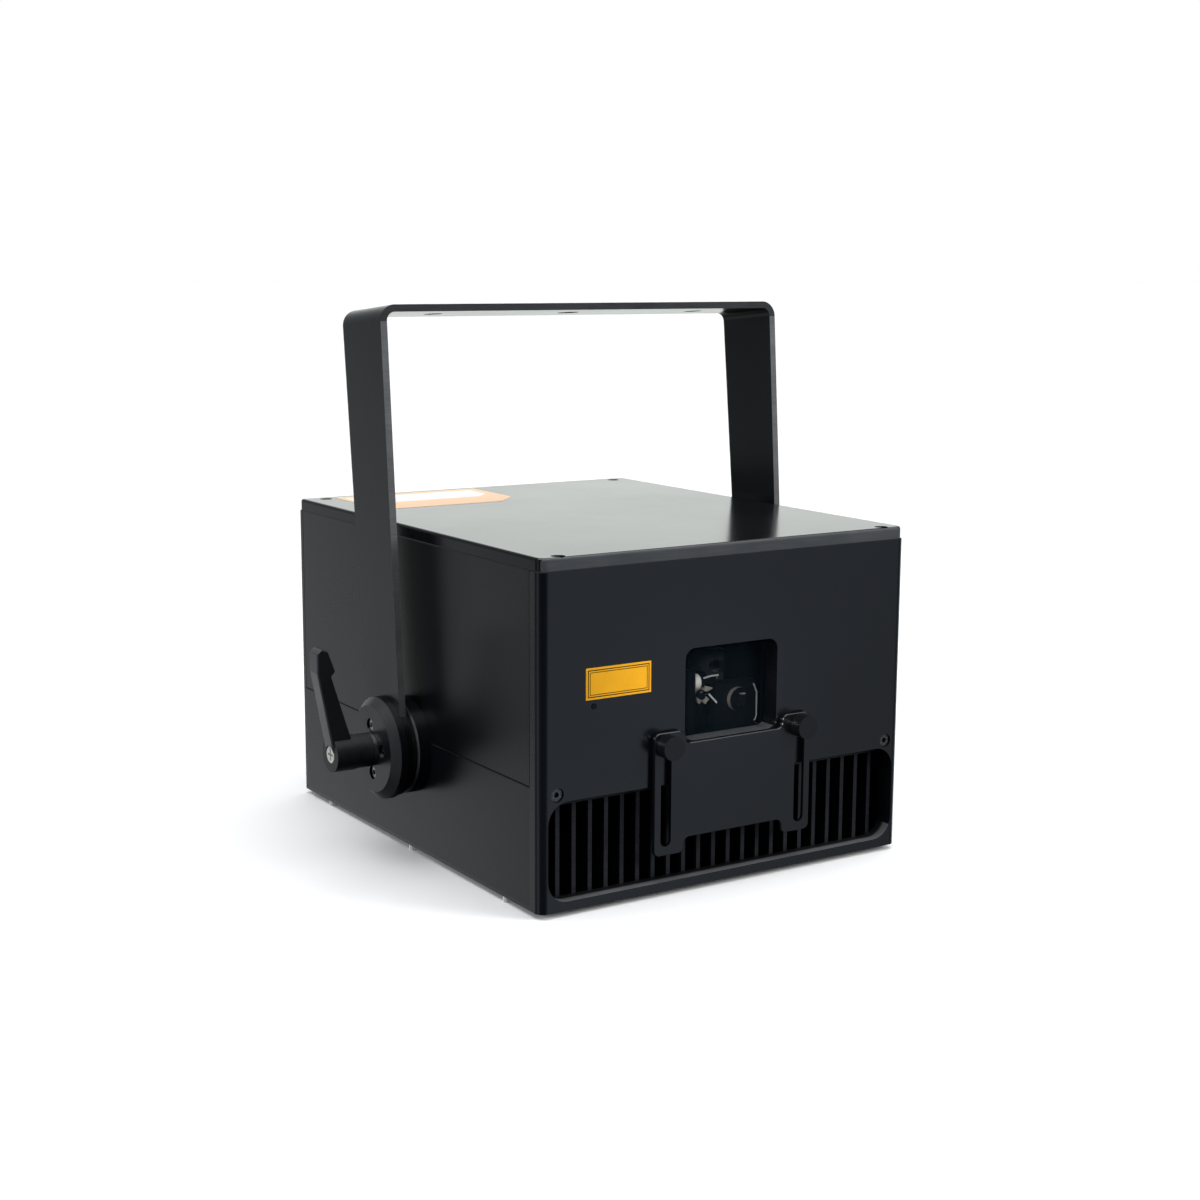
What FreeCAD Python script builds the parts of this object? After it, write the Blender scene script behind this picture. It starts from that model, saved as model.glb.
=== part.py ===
import FreeCAD, Part
import Sketcher
import os
import re

# Laser show projector on a tilting yoke. +Z is up, the window faces -Y and +X is to the right seen
# from the front. The origin is under the middle of the whole object, at the base screw heads.

# Driving dimensions in millimetres and degrees. A rise is counted up from the deck, the top of the heat
# sink. A margin is counted in from the body's outer face.
sizes = {
    # Housing
    "body_width": 240.0,
    "body_depth": 290.0,
    "body_height": 185.0,
    "front_thickness": 10.0,
    "rear_thickness": 5.0,
    "side_thickness": 3.0,
    "rail_thickness": 5.0,
    "bottom_thickness": 2.0,
    "lid_height": 6.7,
    "lid_inset": 0.6,
    "lid_edge_radius": 1.6,
    "corner_radius": 5.0,
    "rear_radius": 2.0,
    "edge_bevel": 0.5,
    "block_size": 18.0,
    "block_height": 20.0,
    "lid_screw_inset": 10.8,
    "lid_screw_back": 5.0,
    # Heat sink
    "deck_height": 66.0,
    "deck_thickness": 12.0,
    "fin_pitch": 10.0,
    "fin_thickness": 2.5,
    "fin_margin": 6.0,
    "fin_shift": 1.6,
    "fin_clearance": 0.5,
    "fan_bay": 45.0,
    # Front openings
    "window_width": 61.0,
    "window_height": 50.0,
    "window_rise": 14.3,
    "window_radius": 6.0,
    "grille_margin": 5.0,
    "grille_base": 5.0,
    "grille_drop": 7.5,
    "grille_radius": 12.0,
    "glass_lip": 3.0,
    "glass_thickness": 3.0,
    "frame_width": 4.0,
    "frame_back": 1.5,
    "lamp_radius": 1.5,
    "lamp_margin": 32.4,
    "lamp_rise": 40.4,
    "lamp_length": 9.0,
    "lamp_proud": 0.4,
    "label_width": 40.0,
    "label_height": 16.6,
    "label_margin": 27.4,
    "label_rise": 44.0,
    "label_thickness": 0.3,
    # Fasteners and fits
    "fit_clearance": 0.05,
    "face_clearance": 0.1,
    "running_gap": 0.5,
    "hole_clearance": 0.3,
    "screw_radius": 2.0,
    "screw_length": 14.0,
    "cap_radius": 3.5,
    "cap_height": 3.0,
    "cap_socket": 1.7,
    "cap_recess": 4.0,
    "base_screw_radius": 1.5,
    "base_screw_length": 20.0,
    "base_head_radius": 2.5,
    "base_head_height": 3.0,
    "base_screw_margin": 37.0,
    "front_screw_margin": 10.5,
    "front_screw_drop": 3.5,
    # Yoke and its pivots
    "yoke_thickness": 4.0,
    "yoke_rise": 246.0,
    "yoke_top_width": 48.0,
    "yoke_low_width": 40.0,
    "yoke_end_radius": 28.0,
    "yoke_bend": 9.0,
    "yoke_tilt": 5.2,
    "yoke_hole_radius": 6.25,
    "yoke_side_hole_radius": 5.25,
    "yoke_hole_spacing": 90.0,
    "boss_thickness": 8.0,
    "boss_radius": 27.5,
    "boss_bevel": 1.0,
    "washer_thickness": 3.0,
    "washer_radius": 26.0,
    "spigot_radius": 8.5,
    "disc_thickness": 8.5,
    "disc_radius": 29.0,
    "disc_bevel": 4.5,
    "disc_bolt_circle": 13.5,
    "stud_radius": 4.0,
    "stud_seat": 22.0,
    # Clamp levers
    "insert_flange_radius": 9.5,
    "insert_flange": 2.0,
    "insert_radius": 7.0,
    "insert_length": 14.5,
    "insert_floor": 4.0,
    "hub_radius": 10.0,
    "lever_lift": 3.9,
    "hub_ledge": 3.0,
    "collar_radius": 9.6,
    "lever_length": 61.0,
    "lever_width": 10.4,
    "lever_root": 13.5,
    "lever_shoulder": 10.3,
    "lever_neck": 8.3,
    "lever_crown": 6.5,
    "lever_lean": 9.0,
    "lever_tip": 15.8,
    "lever_beak": 2.5,
    "lever_rounding": 1.5,
    "lever_edge": 1.0,
    "lever_screw_radius": 2.5,
    "lever_head_radius": 4.8,
    "lever_head_height": 3.5,
    "lever_head_slot": 1.2,
    # Mask plate and thumb screws
    "mask_gap": 1.5,
    "mask_thickness": 2.0,
    "mask_notch_side": 2.0,
    "mask_slot_inset": 12.0,
    "mask_slot_edge": 7.5,
    "mask_ear": 7.0,
    "mask_notch": 7.2,
    "mask_foot": 8.3,
    "mask_foot_notch": 8.0,
    "mask_overlap": 1.5,
    "mask_rounding": 4.0,
    "mask_bevel": 0.4,
    "mask_slot_width": 6.7,
    "knob_radius": 6.5,
    "knob_length": 7.5,
    "knob_rise": 0.3,
    "knob_shoulder": 2.9,
    "knob_thread": 7.5,
    # Scanner
    "scan_room": 0.5,
    "scan_gap": 1.0,
    "scan_offset": 1.5,
    "galvo_radius": 8.0,
    "galvo_length": 38.0,
    "galvo_nose": 8.4,
    "galvo_nose_radius": 4.2,
    "galvo_wall": 2.0,
    "galvo_seat": 20.0,
    "mirror_length": 12.0,
    "mirror_width": 8.0,
    "mirror_thickness": 1.0,
    "mirror_neck": 4.0,
    "mirror_shaft": 1.5,
    "mirror_stub": 5.0,
    "mirror_collar": 2.6,
    "mirror_collar_length": 2.5,
    # Optics and electronics on the deck
    "beam_offset": 55.0,
    "laser_width": 30.0,
    "laser_length": 40.0,
    "laser_height": 45.0,
    "laser_space": 4.0,
    "laser_nose": 5.0,
    "laser_nose_radius": 4.0,
    "laser_gap": 21.0,
    "optic_size": 20.0,
    "optic_thickness": 2.0,
    "holder_thickness": 5.0,
    "mount_width": 28.0,
    "mount_thickness": 6.0,
    "mount_offset": 26.0,
    "mount_gap": 2.0,
    "mount_drop": 4.0,
    "mount_corner": 5.0,
    "steering_radius": 6.7,
    "steering_length": 3.0,
    "steering_drop": 5.0,
    "steering_slot": 2.0,
    "rear_room": 30.0,
    "supply_width": 60.0,
    "supply_length": 100.0,
    "supply_height": 50.0,
    "supply_gap": 3.0,
    "board_length": 90.0,
    "board_height": 50.0,
    "board_thickness": 1.6,
    "board_standoff": 6.0,
    "board_rise": 14.0,
    "board_margin": 5.0,
    "board_depth": 35.0,
    "post_radius": 2.5,
    "chip_size": 16.0,
    "chip_height": 4.0,
    # Fans
    "fan_gap": 1.0,
    "fan_thickness": 15.0,
    "fan_offset": 60.0,
    "fan_wall": 1.5,
    "fan_tip_gap": 1.0,
    "fan_hub_radius": 11.0,
    "fan_recess": 2.5,
    "fan_stator": 3.0,
    "fan_shaft": 1.5,
    "fan_strut": 3.0,
    "fan_blade_thickness": 1.2,
    "fan_blade_width": 8.0,
    "fan_blade_pitch": 32.0,
    "fan_slot_width": 4.0,
    "fan_slot_pitch": 7.0,
    "fan_slot_height": 34.0,
    # Rear panel
    "row_margin": 14.0,
    "row_gap": 5.0,
    "plate_proud": 2.5,
    "inlet_width": 30.0,
    "inlet_height": 22.0,
    "inlet_rim": 9.0,
    "inlet_wall": 2.5,
    "inlet_depth": 20.0,
    "inlet_floor": 3.0,
    "inlet_pin": 11.0,
    "inlet_pin_width": 2.0,
    "inlet_pin_height": 4.0,
    "inlet_pin_pitch": 7.0,
    "control_width": 26.0,
    "control_height": 31.0,
    "control_radius": 11.5,
    "control_cavity": 9.0,
    "control_depth": 20.0,
    "control_floor": 3.0,
    "control_pin": 9.0,
    "control_pin_radius": 1.2,
    "control_pin_circle": 5.0,
    "network_size": 16.0,
    "network_cavity": 12.0,
    "network_cavity_height": 8.0,
    "network_depth": 16.0,
    "network_cavity_depth": 10.0,
    "signal_width": 53.0,
    "signal_height": 12.5,
    "signal_shell": 39.0,
    "signal_shell_height": 8.4,
    "signal_proud": 6.0,
    "signal_depth": 12.0,
    "signal_plate": 1.2,
    "display_width": 56.0,
    "display_height": 28.0,
    "display_depth": 8.0,
    "display_lip": 3.0,
    "display_proud": 1.2,
    "menu_radius": 8.0,
    "menu_length": 11.0,
    "menu_shaft": 3.0,
    "menu_clip": 5.0,
    "menu_clip_length": 2.0,
    "key_barrel_radius": 9.0,
    "key_barrel_proud": 3.0,
    "key_barrel_depth": 22.0,
    "key_plug_radius": 5.5,
    "key_plug_length": 18.0,
    "key_stem": 6.0,
    "key_stem_width": 8.0,
    "key_bow": 12.0,
    "key_bow_width": 20.0,
    "key_thickness": 2.2,
    "eye_standoff": 15.0,
    "eye_radius": 10.0,
    "eye_wire": 2.5,
    "eye_stem_radius": 4.0,
    "eye_flange_radius": 8.0,
    "eye_nut": 6.0,
}

doc = FreeCAD.newDocument("laser_projector")
sheet = doc.addObject("Spreadsheet::Sheet", "Sizes")
for row, (alias, value) in enumerate(sizes.items(), start=1):
    sheet.set(f"A{row}", alias)
    sheet.set(f"B{row}", str(value))
    sheet.setAlias(f"B{row}", alias)
doc.recompute()

nodes = []


# Turns a text of size names into an expression on the sheet's cells.
def expression(text):
    return re.sub(r"[a-z_]+", lambda word: f"Sizes.{word[0]}" if word[0] in sizes else word[0], text)


def number(text):
    return float(sheet.evalExpression(expression(text)))


def bind(feature, **texts):
    for name, text in texts.items():
        feature.setExpression(name, expression(text))


def place(feature, x, y, z, axis=None, angle=None):
    if axis:
        feature.Placement = FreeCAD.Placement(FreeCAD.Vector(), FreeCAD.Rotation(axis, number(angle)))
        feature.setExpression("Placement.Rotation.Angle", expression(angle))
    for letter, text in zip("xyz", (x, y, z)):
        feature.setExpression(f"Placement.Base.{letter}", expression(text))


axis_x = FreeCAD.Vector(1, 0, 0)
axis_y = FreeCAD.Vector(0, 1, 0)
axis_z = FreeCAD.Vector(0, 0, 1)
axes = {"X": axis_x, "Y": axis_y, "Z": axis_z}


# A span is a pair of texts: its low and its high end.
def length_of(span):
    return f"({span[1]}) - ({span[0]})"


def about(centre, size):
    return (f"({centre}) - ({size}) / 2", f"({centre}) + ({size}) / 2")


def flipped(side, span):
    if side > 0:
        return span
    return (f"-({span[1]})", f"-({span[0]})")


def block(name, x, y, z):
    feature = doc.addObject("Part::Box", name)
    bind(feature, Length=length_of(x), Width=length_of(y), Height=length_of(z))
    place(feature, x[0], y[0], z[0])
    return feature


# Puts a round or prismatic primitive along an axis: centre holds its other two coordinates.
def along(feature, axis, centre, span):
    feature.Placement = FreeCAD.Placement(FreeCAD.Vector(), FreeCAD.Rotation(axis_z, axes[axis]))
    bind(feature, Height=length_of(span))
    base = list(centre)
    base.insert("XYZ".index(axis), span[0])
    place(feature, *base)
    return feature


def rod(name, axis, centre, span, radius):
    feature = doc.addObject("Part::Cylinder", name)
    bind(feature, Radius=radius)
    return along(feature, axis, centre, span)


def hexagon(name, axis, centre, span, radius):
    feature = doc.addObject("Part::Prism", name)
    feature.Polygon = 6
    bind(feature, Circumradius=radius)
    return along(feature, axis, centre, span)


def join(name, features):
    feature = doc.addObject("Part::MultiFuse", name)
    feature.Shapes = features
    return feature


def cut(name, base, tools):
    feature = doc.addObject("Part::Cut", name)
    feature.Base = base
    feature.Tool = tools[0] if len(tools) == 1 else join(f"{name}_tools", tools)
    return feature


def common(name, base, tool):
    feature = doc.addObject("Part::Common", name)
    feature.Base = base
    feature.Tool = tool
    return feature


def group(name, features):
    feature = doc.addObject("Part::Compound", name)
    feature.Links = features
    return feature


def finish(label, feature):
    feature.Label = label
    nodes.append(feature)
    return feature


def origin_feature(body, role):
    return next(item for item in body.Origin.OriginFeatures if item.Role == role)


# A closed outline with straight sides in a body's own plane, each corner bound to the sheet.
def outline(body, role, offset, corners):
    sketch = body.newObject("Sketcher::SketchObject", f"{body.Name}_outline")
    sketch.AttachmentSupport = (origin_feature(body, role), [""])
    sketch.MapMode = "FlatFace"
    sketch.setExpression("AttachmentOffset.Base.z", expression(offset))
    points = [FreeCAD.Vector(number(across), number(up), 0) for across, up in corners]
    following = points[1:] + points[:1]
    for start, end in zip(points, following):
        sketch.addGeometry(Part.LineSegment(start, end))
    for index, (across, up) in enumerate(corners):
        after = (index + 1) % len(corners)
        sketch.addConstraint(Sketcher.Constraint("Coincident", index, 2, after, 1))
        for kind, text in (("DistanceX", across), ("DistanceY", up)):
            value = number(text)
            position = sketch.addConstraint(Sketcher.Constraint(kind, -1, 1, index, 1, value))
            sketch.setExpression(f"Constraints[{position}]", expression(text))
    return sketch


def pad(body, sketch, length):
    feature = body.newObject("PartDesign::Pad", f"{body.Name}_pad")
    feature.Profile = sketch
    bind(feature, Length=length)
    body.Tip = feature
    return feature


# A prism of an outline. The front plane's normal is -Y, so its sketch lies at the span's high end.
def prism(name, role, corners, span):
    body = doc.addObject("PartDesign::Body", name)
    offset = f"-({span[1]})" if role == "XZ_Plane" else span[0]
    pad(body, outline(body, role, offset, corners), length_of(span))
    return body


def slab(name, x, y, z):
    corners = [(x[0], y[0]), (x[1], y[0]), (x[1], y[1]), (x[0], y[1])]
    return prism(name, "XY_Plane", corners, z)


def turned(name, corners):
    body = doc.addObject("PartDesign::Body", name)
    feature = body.newObject("PartDesign::Revolution", f"{name}_turning")
    feature.Profile = outline(body, "XZ_Plane", "0", corners)
    feature.ReferenceAxis = (origin_feature(body, "X_Axis"), [""])
    feature.Angle = 360
    body.Tip = feature
    return body


# Names of the edges that run along an axis and lie in a bounding face such as z="high", or at a given place.
def edges(shape, axis=None, **faces):
    box = shape.BoundBox
    limits = {"x": (box.XMin, box.XMax), "y": (box.YMin, box.YMax), "z": (box.ZMin, box.ZMax)}
    picked = []
    for index, edge in enumerate(shape.Edges, start=1):
        bounds = edge.BoundBox
        reach = {
            "x": (bounds.XMin, bounds.XMax),
            "y": (bounds.YMin, bounds.YMax),
            "z": (bounds.ZMin, bounds.ZMax),
        }
        if axis:
            flat = [letter for letter in "xyz" if reach[letter][1] - reach[letter][0] > 0.001]
            if flat != [axis]:
                continue
        inside = True
        for letter, face in faces.items():
            limit = limits[letter][face == "high"] if face in ("low", "high") else number(face)
            inside = inside and all(abs(value - limit) < 0.001 for value in reach[letter])
        if inside:
            picked.append(f"Edge{index}")
    return picked


def soften(body, kind, size, axis=None, **faces):
    doc.recompute()
    base = body.Tip
    feature = body.newObject(f"PartDesign::{kind}", f"{body.Name}_{kind.lower()}")
    feature.Base = (base, edges(base.Shape, axis, **faces))
    feature.setExpression("Radius" if kind == "Fillet" else "Size", expression(size))
    body.Tip = feature
    return body


# Main planes and heights
front_reach = "(mask_gap + mask_thickness + knob_length)"
rear_reach = "(eye_standoff + eye_radius + eye_wire)"
front = f"(({front_reach} - {rear_reach} - body_depth) / 2)"
back = f"({front} + body_depth)"
panel_back = f"({front} + front_thickness)"
rear_inner = f"({back} - rear_thickness)"
half_width = "(body_width / 2)"
underside = "base_head_height"
bottom_top = "(base_head_height + bottom_thickness)"
deck = "(base_head_height + deck_height)"
deck_under = "(base_head_height + deck_height - deck_thickness)"
lid_under = "(base_head_height + body_height - lid_height)"
lid_top = "(base_head_height + body_height)"
pivot_y = f"({front} + body_depth / 2)"
pivot_z = f"({deck} - deck_thickness / 2)"
pivot = (pivot_y, pivot_z)
across_body = (f"-{half_width}", half_width)
between_panels = (panel_back, rear_inner)
rail_inner = f"({half_width} - rail_thickness)"
side_inner = f"({half_width} - side_thickness)"
sides = {"left": -1, "right": 1}


# Housing shell

base_spots = {
    name: [
        (
            f"{side} * ({half_width} - rail_thickness / 2)",
            f"{pivot_y} + {step} * (body_depth / 2 - base_screw_margin)",
        )
        for step in (-1, 0, 1)
    ]
    for name, side in sides.items()
}
all_base_spots = base_spots["left"] + base_spots["right"]
base_holes = [
    rod("base_hole", "Z", spot, (underside, bottom_top), "base_screw_radius + hole_clearance")
    for spot in all_base_spots
]
bottom_blank = slab("bottom_blank", across_body, (front, back), (underside, bottom_top))
soften(bottom_blank, "Fillet", "corner_radius", "z", y="low")
soften(bottom_blank, "Fillet", "rear_radius", "z", y="high")
finish("bottom_plate", cut("bottom_cut", bottom_blank, base_holes))

base_screws = []
for spot in all_base_spots:
    head = rod("base_head", "Z", spot, ("0", underside), "base_head_radius")
    shank = rod("base_shank", "Z", spot, (underside, f"{underside} + base_screw_length"), "base_screw_radius")
    slot = hexagon("base_socket", "Z", spot, ("-1", f"{underside} / 2"), "base_screw_radius")
    base_screws.append(cut("base_screw", join("base_screw_blank", [head, shank]), [slot]))
finish("base_screws", group("base_screw_group", base_screws))

# Heat sink: a thick deck that carries the optics, with fins bonded to its underside
sink = slab("sink_blank", (f"-{rail_inner}", rail_inner), between_panels, (deck_under, deck))
fin_room = "body_width - 2 * rail_thickness - fin_thickness - 2 * fin_margin"
fin_steps = int(number(fin_room) // number("fin_pitch"))
fin_y = (panel_back, f"{rear_inner} - fan_bay")
fin_z = (f"{bottom_top} + fin_clearance", deck_under)
fins = []
for step in range(fin_steps + 1):
    fin_x = about(f"({step} - {fin_steps} / 2) * fin_pitch + fin_shift", "fin_thickness")
    fins.append(block("fin", fin_x, fin_y, fin_z))
finish("heat_sink_fins", group("fin_group", fins))

front_screw_x = f"({half_width} - front_screw_margin)"
front_screw_z = f"({deck} - front_screw_drop)"
screw_tip = f"({panel_back} + screw_length)"
rear_tip = f"({rear_inner} - screw_length)"
sink_holes = []
for side in sides.values():
    x = f"{side} * {front_screw_x}"
    thread = "screw_radius + fit_clearance"
    sink_holes.append(rod("sink_front_hole", "Y", (x, front_screw_z), (panel_back, screw_tip), thread))
    sink_holes.append(rod("sink_rear_hole", "Y", (x, front_screw_z), (rear_tip, rear_inner), thread))
    seat = flipped(side, (f"{rail_inner} - stud_seat", rail_inner))
    sink_holes.append(rod("sink_stud_hole", "X", pivot, seat, "stud_radius + fit_clearance"))
finish("heat_sink", cut("sink_cut", sink, sink_holes))

for name, side in sides.items():
    wall = flipped(side, (rail_inner, half_width))
    rail = slab(f"rail_blank_{name}", wall, between_panels, (bottom_top, deck))
    outer = "high" if side > 0 else "low"
    soften(rail, "Chamfer", "edge_bevel", "y", x=outer, z="high")
    rail_top = f"{underside} + base_screw_length"
    rail_holes = [
        rod("rail_hole", "Z", spot, (bottom_top, rail_top), "base_screw_radius + fit_clearance")
        for spot in base_spots[name]
    ]
    rail_holes.append(rod("rail_stud_hole", "X", pivot, wall, "stud_radius + fit_clearance"))
    finish(f"base_rail_{name}", cut(f"rail_cut_{name}", rail, rail_holes))

    wall = flipped(side, (side_inner, half_width))
    panel = slab(f"side_blank_{name}", wall, between_panels, (deck, lid_under))
    soften(panel, "Chamfer", "edge_bevel", x=outer)
    finish(f"side_panel_{name}", panel)

window_z = (f"({deck} + window_rise)", f"({deck} + window_rise + window_height)")
knob_z = f"({window_z[0]} + knob_rise)"
notch_side = "(window_width / 2 + mask_notch_side)"
slot_x = f"({notch_side} + mask_slot_inset)"
mask_side = f"({slot_x} + mask_slot_edge)"
window_x = about("0", "window_width")
through_front = (f"{front} - 1", f"{panel_back} + 1")
front_blank = slab("front_blank", across_body, (front, panel_back), (bottom_top, lid_under))
soften(front_blank, "Fillet", "corner_radius", "z", y="low")
soften(front_blank, "Chamfer", "edge_bevel", y="low", z="high")
window_tool = slab("window_tool", window_x, through_front, window_z)
soften(window_tool, "Fillet", "window_radius", "y")
grille_z = (f"{underside} + grille_base", f"{deck} - grille_drop")
grille_tool = slab("grille_tool", about("0", "body_width - 2 * grille_margin"), through_front, grille_z)
soften(grille_tool, "Fillet", "grille_radius", "y")
front_tools = [window_tool, grille_tool]
lid_screw_x = f"({side_inner} - lid_screw_inset)"
lid_screw_rows = {
    "front": f"({front} + front_thickness / 2)",
    "rear": f"({rear_inner} - lid_screw_back)",
}
lid_screw_tip = f"({lid_under} - screw_length / 2)"
for side in sides.values():
    x = f"{side} * {front_screw_x}"
    recess = (f"{front} - 1", f"{front} + cap_recess")
    front_tools.append(rod("front_recess", "Y", (x, front_screw_z), recess, "cap_radius + hole_clearance"))
    hole = (front, panel_back)
    front_tools.append(rod("front_hole", "Y", (x, front_screw_z), hole, "screw_radius + hole_clearance"))
    x = f"{side} * {slot_x}"
    thread = (front, f"{front} + knob_thread + hole_clearance")
    front_tools.append(rod("knob_hole", "Y", (x, knob_z), thread, "screw_radius + fit_clearance"))
    spot = (f"{side} * {lid_screw_x}", lid_screw_rows["front"])
    thread = (lid_screw_tip, lid_under)
    front_tools.append(rod("front_lid_hole", "Z", spot, thread, "screw_radius + fit_clearance"))
lamp_centre = (f"lamp_margin - {half_width}", f"{deck} + lamp_rise")
lamp_span = (f"{front} - lamp_proud", f"{front} + lamp_length")
front_tools.append(rod("lamp_hole", "Y", lamp_centre, lamp_span, "lamp_radius + fit_clearance"))
finish("front_panel", cut("front_cut", front_blank, front_tools))


# Socket cap screw along an axis: its head reaches from the seat to the outside, its shank inwards.
def cap_screw(axis, centre, seat, outward, shank_length):
    head_end = f"({seat}) + {outward} * cap_height"
    shank_end = f"({seat}) - {outward} * ({shank_length})"
    socket_end = f"({seat}) + {outward} * cap_height / 3"
    head = rod("cap", axis, centre, (seat, head_end)[::outward], "cap_radius")
    shank = rod("shank", axis, centre, (shank_end, seat)[::outward], "screw_radius")
    socket = hexagon("socket", axis, centre, (socket_end, head_end)[::outward], "cap_socket")
    return cut("cap_screw", join("cap_screw_blank", [head, shank]), [socket])


front_screws = []
rear_screws = []
rear_screw_spots = []
rear_screw_high = f"({lid_under} - 3 * block_height / 4)"
shank = "front_thickness - cap_recess + screw_length"
for side in sides.values():
    spot = (f"{side} * {front_screw_x}", front_screw_z)
    front_screws.append(cap_screw("Y", spot, f"{front} + cap_recess", -1, shank))
    rear_screw_spots.append(spot)
    rear_screw_spots.append((f"{side} * {lid_screw_x}", rear_screw_high))
finish("front_screws", group("front_screw_group", front_screws))

lid_blank = slab(
    "lid_blank",
    about("0", "body_width - 2 * lid_inset"),
    (f"{front} + lid_inset", f"{back} - lid_inset"),
    (lid_under, lid_top),
)
soften(lid_blank, "Fillet", "corner_radius", "z", y="low")
soften(lid_blank, "Fillet", "rear_radius", "z", y="high")
soften(lid_blank, "Fillet", "lid_edge_radius", z="high")
lid_tools = []
lid_screws = []
lid_seat = f"({lid_top} - cap_recess)"
lid_shank = "lid_height - cap_recess + screw_length / 2"
for side in sides.values():
    for row in lid_screw_rows.values():
        spot = (f"{side} * {lid_screw_x}", row)
        recess = (lid_seat, f"{lid_top} + 1")
        lid_tools.append(rod("lid_recess", "Z", spot, recess, "cap_radius + hole_clearance"))
        lid_tools.append(rod("lid_hole", "Z", spot, (lid_under, lid_top), "screw_radius + hole_clearance"))
        lid_screws.append(cap_screw("Z", spot, lid_seat, 1, lid_shank))
finish("lid", cut("lid_cut", lid_blank, lid_tools))
finish("lid_screws", group("lid_screw_group", lid_screws))

corner_blocks = []
for side in sides.values():
    corner = block(
        "corner_block",
        flipped(side, (f"{side_inner} - block_size", side_inner)),
        (f"{rear_inner} - block_size", rear_inner),
        (f"{lid_under} - block_height", lid_under),
    )
    x = f"{side} * {lid_screw_x}"
    thread = "screw_radius + fit_clearance"
    down = rod("block_lid_hole", "Z", (x, lid_screw_rows["rear"]), (lid_screw_tip, lid_under), thread)
    along_y = (f"{rear_inner} - block_size / 4", rear_inner)
    inward = rod("block_rear_hole", "Y", (x, rear_screw_high), along_y, thread)
    corner_blocks.append(cut("corner_cut", corner, [down, inward]))
finish("corner_blocks", group("corner_group", corner_blocks))

for x, z in rear_screw_spots:
    reach = "screw_length" if z == front_screw_z else "block_size / 4"
    rear_screws.append(cap_screw("Y", (x, z), back, 1, f"rear_thickness + {reach}"))
finish("rear_screws", group("rear_screw_group", rear_screws))


# Window glass, its frame, the emission lamp and the plain amber label

glass_x = about("0", "window_width + 2 * glass_lip")
glass_z = (f"{window_z[0]} - glass_lip", f"{window_z[1]} + glass_lip")
glass_y = (panel_back, f"{panel_back} + glass_thickness")
finish("window_glass", block("glass", glass_x, glass_y, glass_z))
frame_blank = block(
    "frame_blank",
    about("0", "window_width + 2 * glass_lip + 2 * frame_width"),
    (panel_back, f"{glass_y[1]} + frame_back"),
    (f"{glass_z[0]} - frame_width", f"{glass_z[1]} + frame_width"),
)
glass_pocket = block(
    "glass_pocket",
    about("0", "window_width + 2 * glass_lip + 2 * fit_clearance"),
    glass_y,
    (f"{glass_z[0]} - fit_clearance", f"{glass_z[1]} + fit_clearance"),
)
frame_opening = block("frame_opening", window_x, (panel_back, f"{glass_y[1]} + frame_back"), window_z)
finish("window_frame", cut("frame_cut", frame_blank, [glass_pocket, frame_opening]))
finish("emission_lamp", rod("lamp", "Y", lamp_centre, lamp_span, "lamp_radius"))
finish("front_label", block(
    "label",
    (f"label_margin - {half_width}", f"label_margin - {half_width} + label_width"),
    (f"{front} - label_thickness", front),
    (f"{deck} + label_rise", f"{deck} + label_rise + label_height"),
))


# Mask plate: two ears and two feet around a slotted blank, hung on the thumb screws

mask_y = (f"{front} - mask_gap - mask_thickness", f"{front} - mask_gap")
ear_top = f"({knob_z} + mask_ear)"
notch_low = f"({ear_top} - mask_notch)"
slot_z = (f"({knob_z} - window_height - mask_overlap)", knob_z)
foot_low = f"({slot_z[0]} - mask_foot)"
notch_high = f"({foot_low} + mask_foot_notch)"
mask_outline = [
    (f"-{mask_side}", foot_low),
    (f"-{notch_side}", foot_low),
    (f"-{notch_side}", notch_high),
    (notch_side, notch_high),
    (notch_side, foot_low),
    (mask_side, foot_low),
    (mask_side, ear_top),
    (notch_side, ear_top),
    (notch_side, notch_low),
    (f"-{notch_side}", notch_low),
    (f"-{notch_side}", ear_top),
    (f"-{mask_side}", ear_top),
]
mask_blank = prism("mask_blank", "XZ_Plane", mask_outline, mask_y)
soften(mask_blank, "Fillet", "min(mask_rounding; mask_notch / 2.1; mask_foot_notch / 2.1)", "y")
soften(mask_blank, "Chamfer", "mask_bevel", y="low")
slot_tools = []
for side in sides.values():
    x = f"{side} * {slot_x}"
    slot_tools.append(block("slot_middle", about(x, "mask_slot_width"), mask_y, slot_z))
    for end in slot_z:
        slot_tools.append(rod("slot_end", "Y", (x, end), mask_y, "mask_slot_width / 2"))
finish("mask_plate", cut("mask_cut", mask_blank, slot_tools))

for name, side in sides.items():
    centre = (f"{side} * {slot_x}", knob_z)
    knob_y = (f"{mask_y[0]} - knob_length", f"{mask_y[0]} - face_clearance")
    knob = rod(f"knob_{name}", "Y", centre, knob_y, "knob_radius")
    shoulder = rod(f"shoulder_{name}", "Y", centre, (knob_y[1], f"{front} - face_clearance"), "knob_shoulder")
    thread_y = (f"{front} - face_clearance", f"{front} + knob_thread")
    thread = rod(f"thread_{name}", "Y", centre, thread_y, "screw_radius")
    finish(f"thumb_screw_{name}", join(f"thumb_screw_join_{name}", [knob, shoulder, thread]))


# Pivots: stud, side boss with spigot, and friction washer on each side

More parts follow.
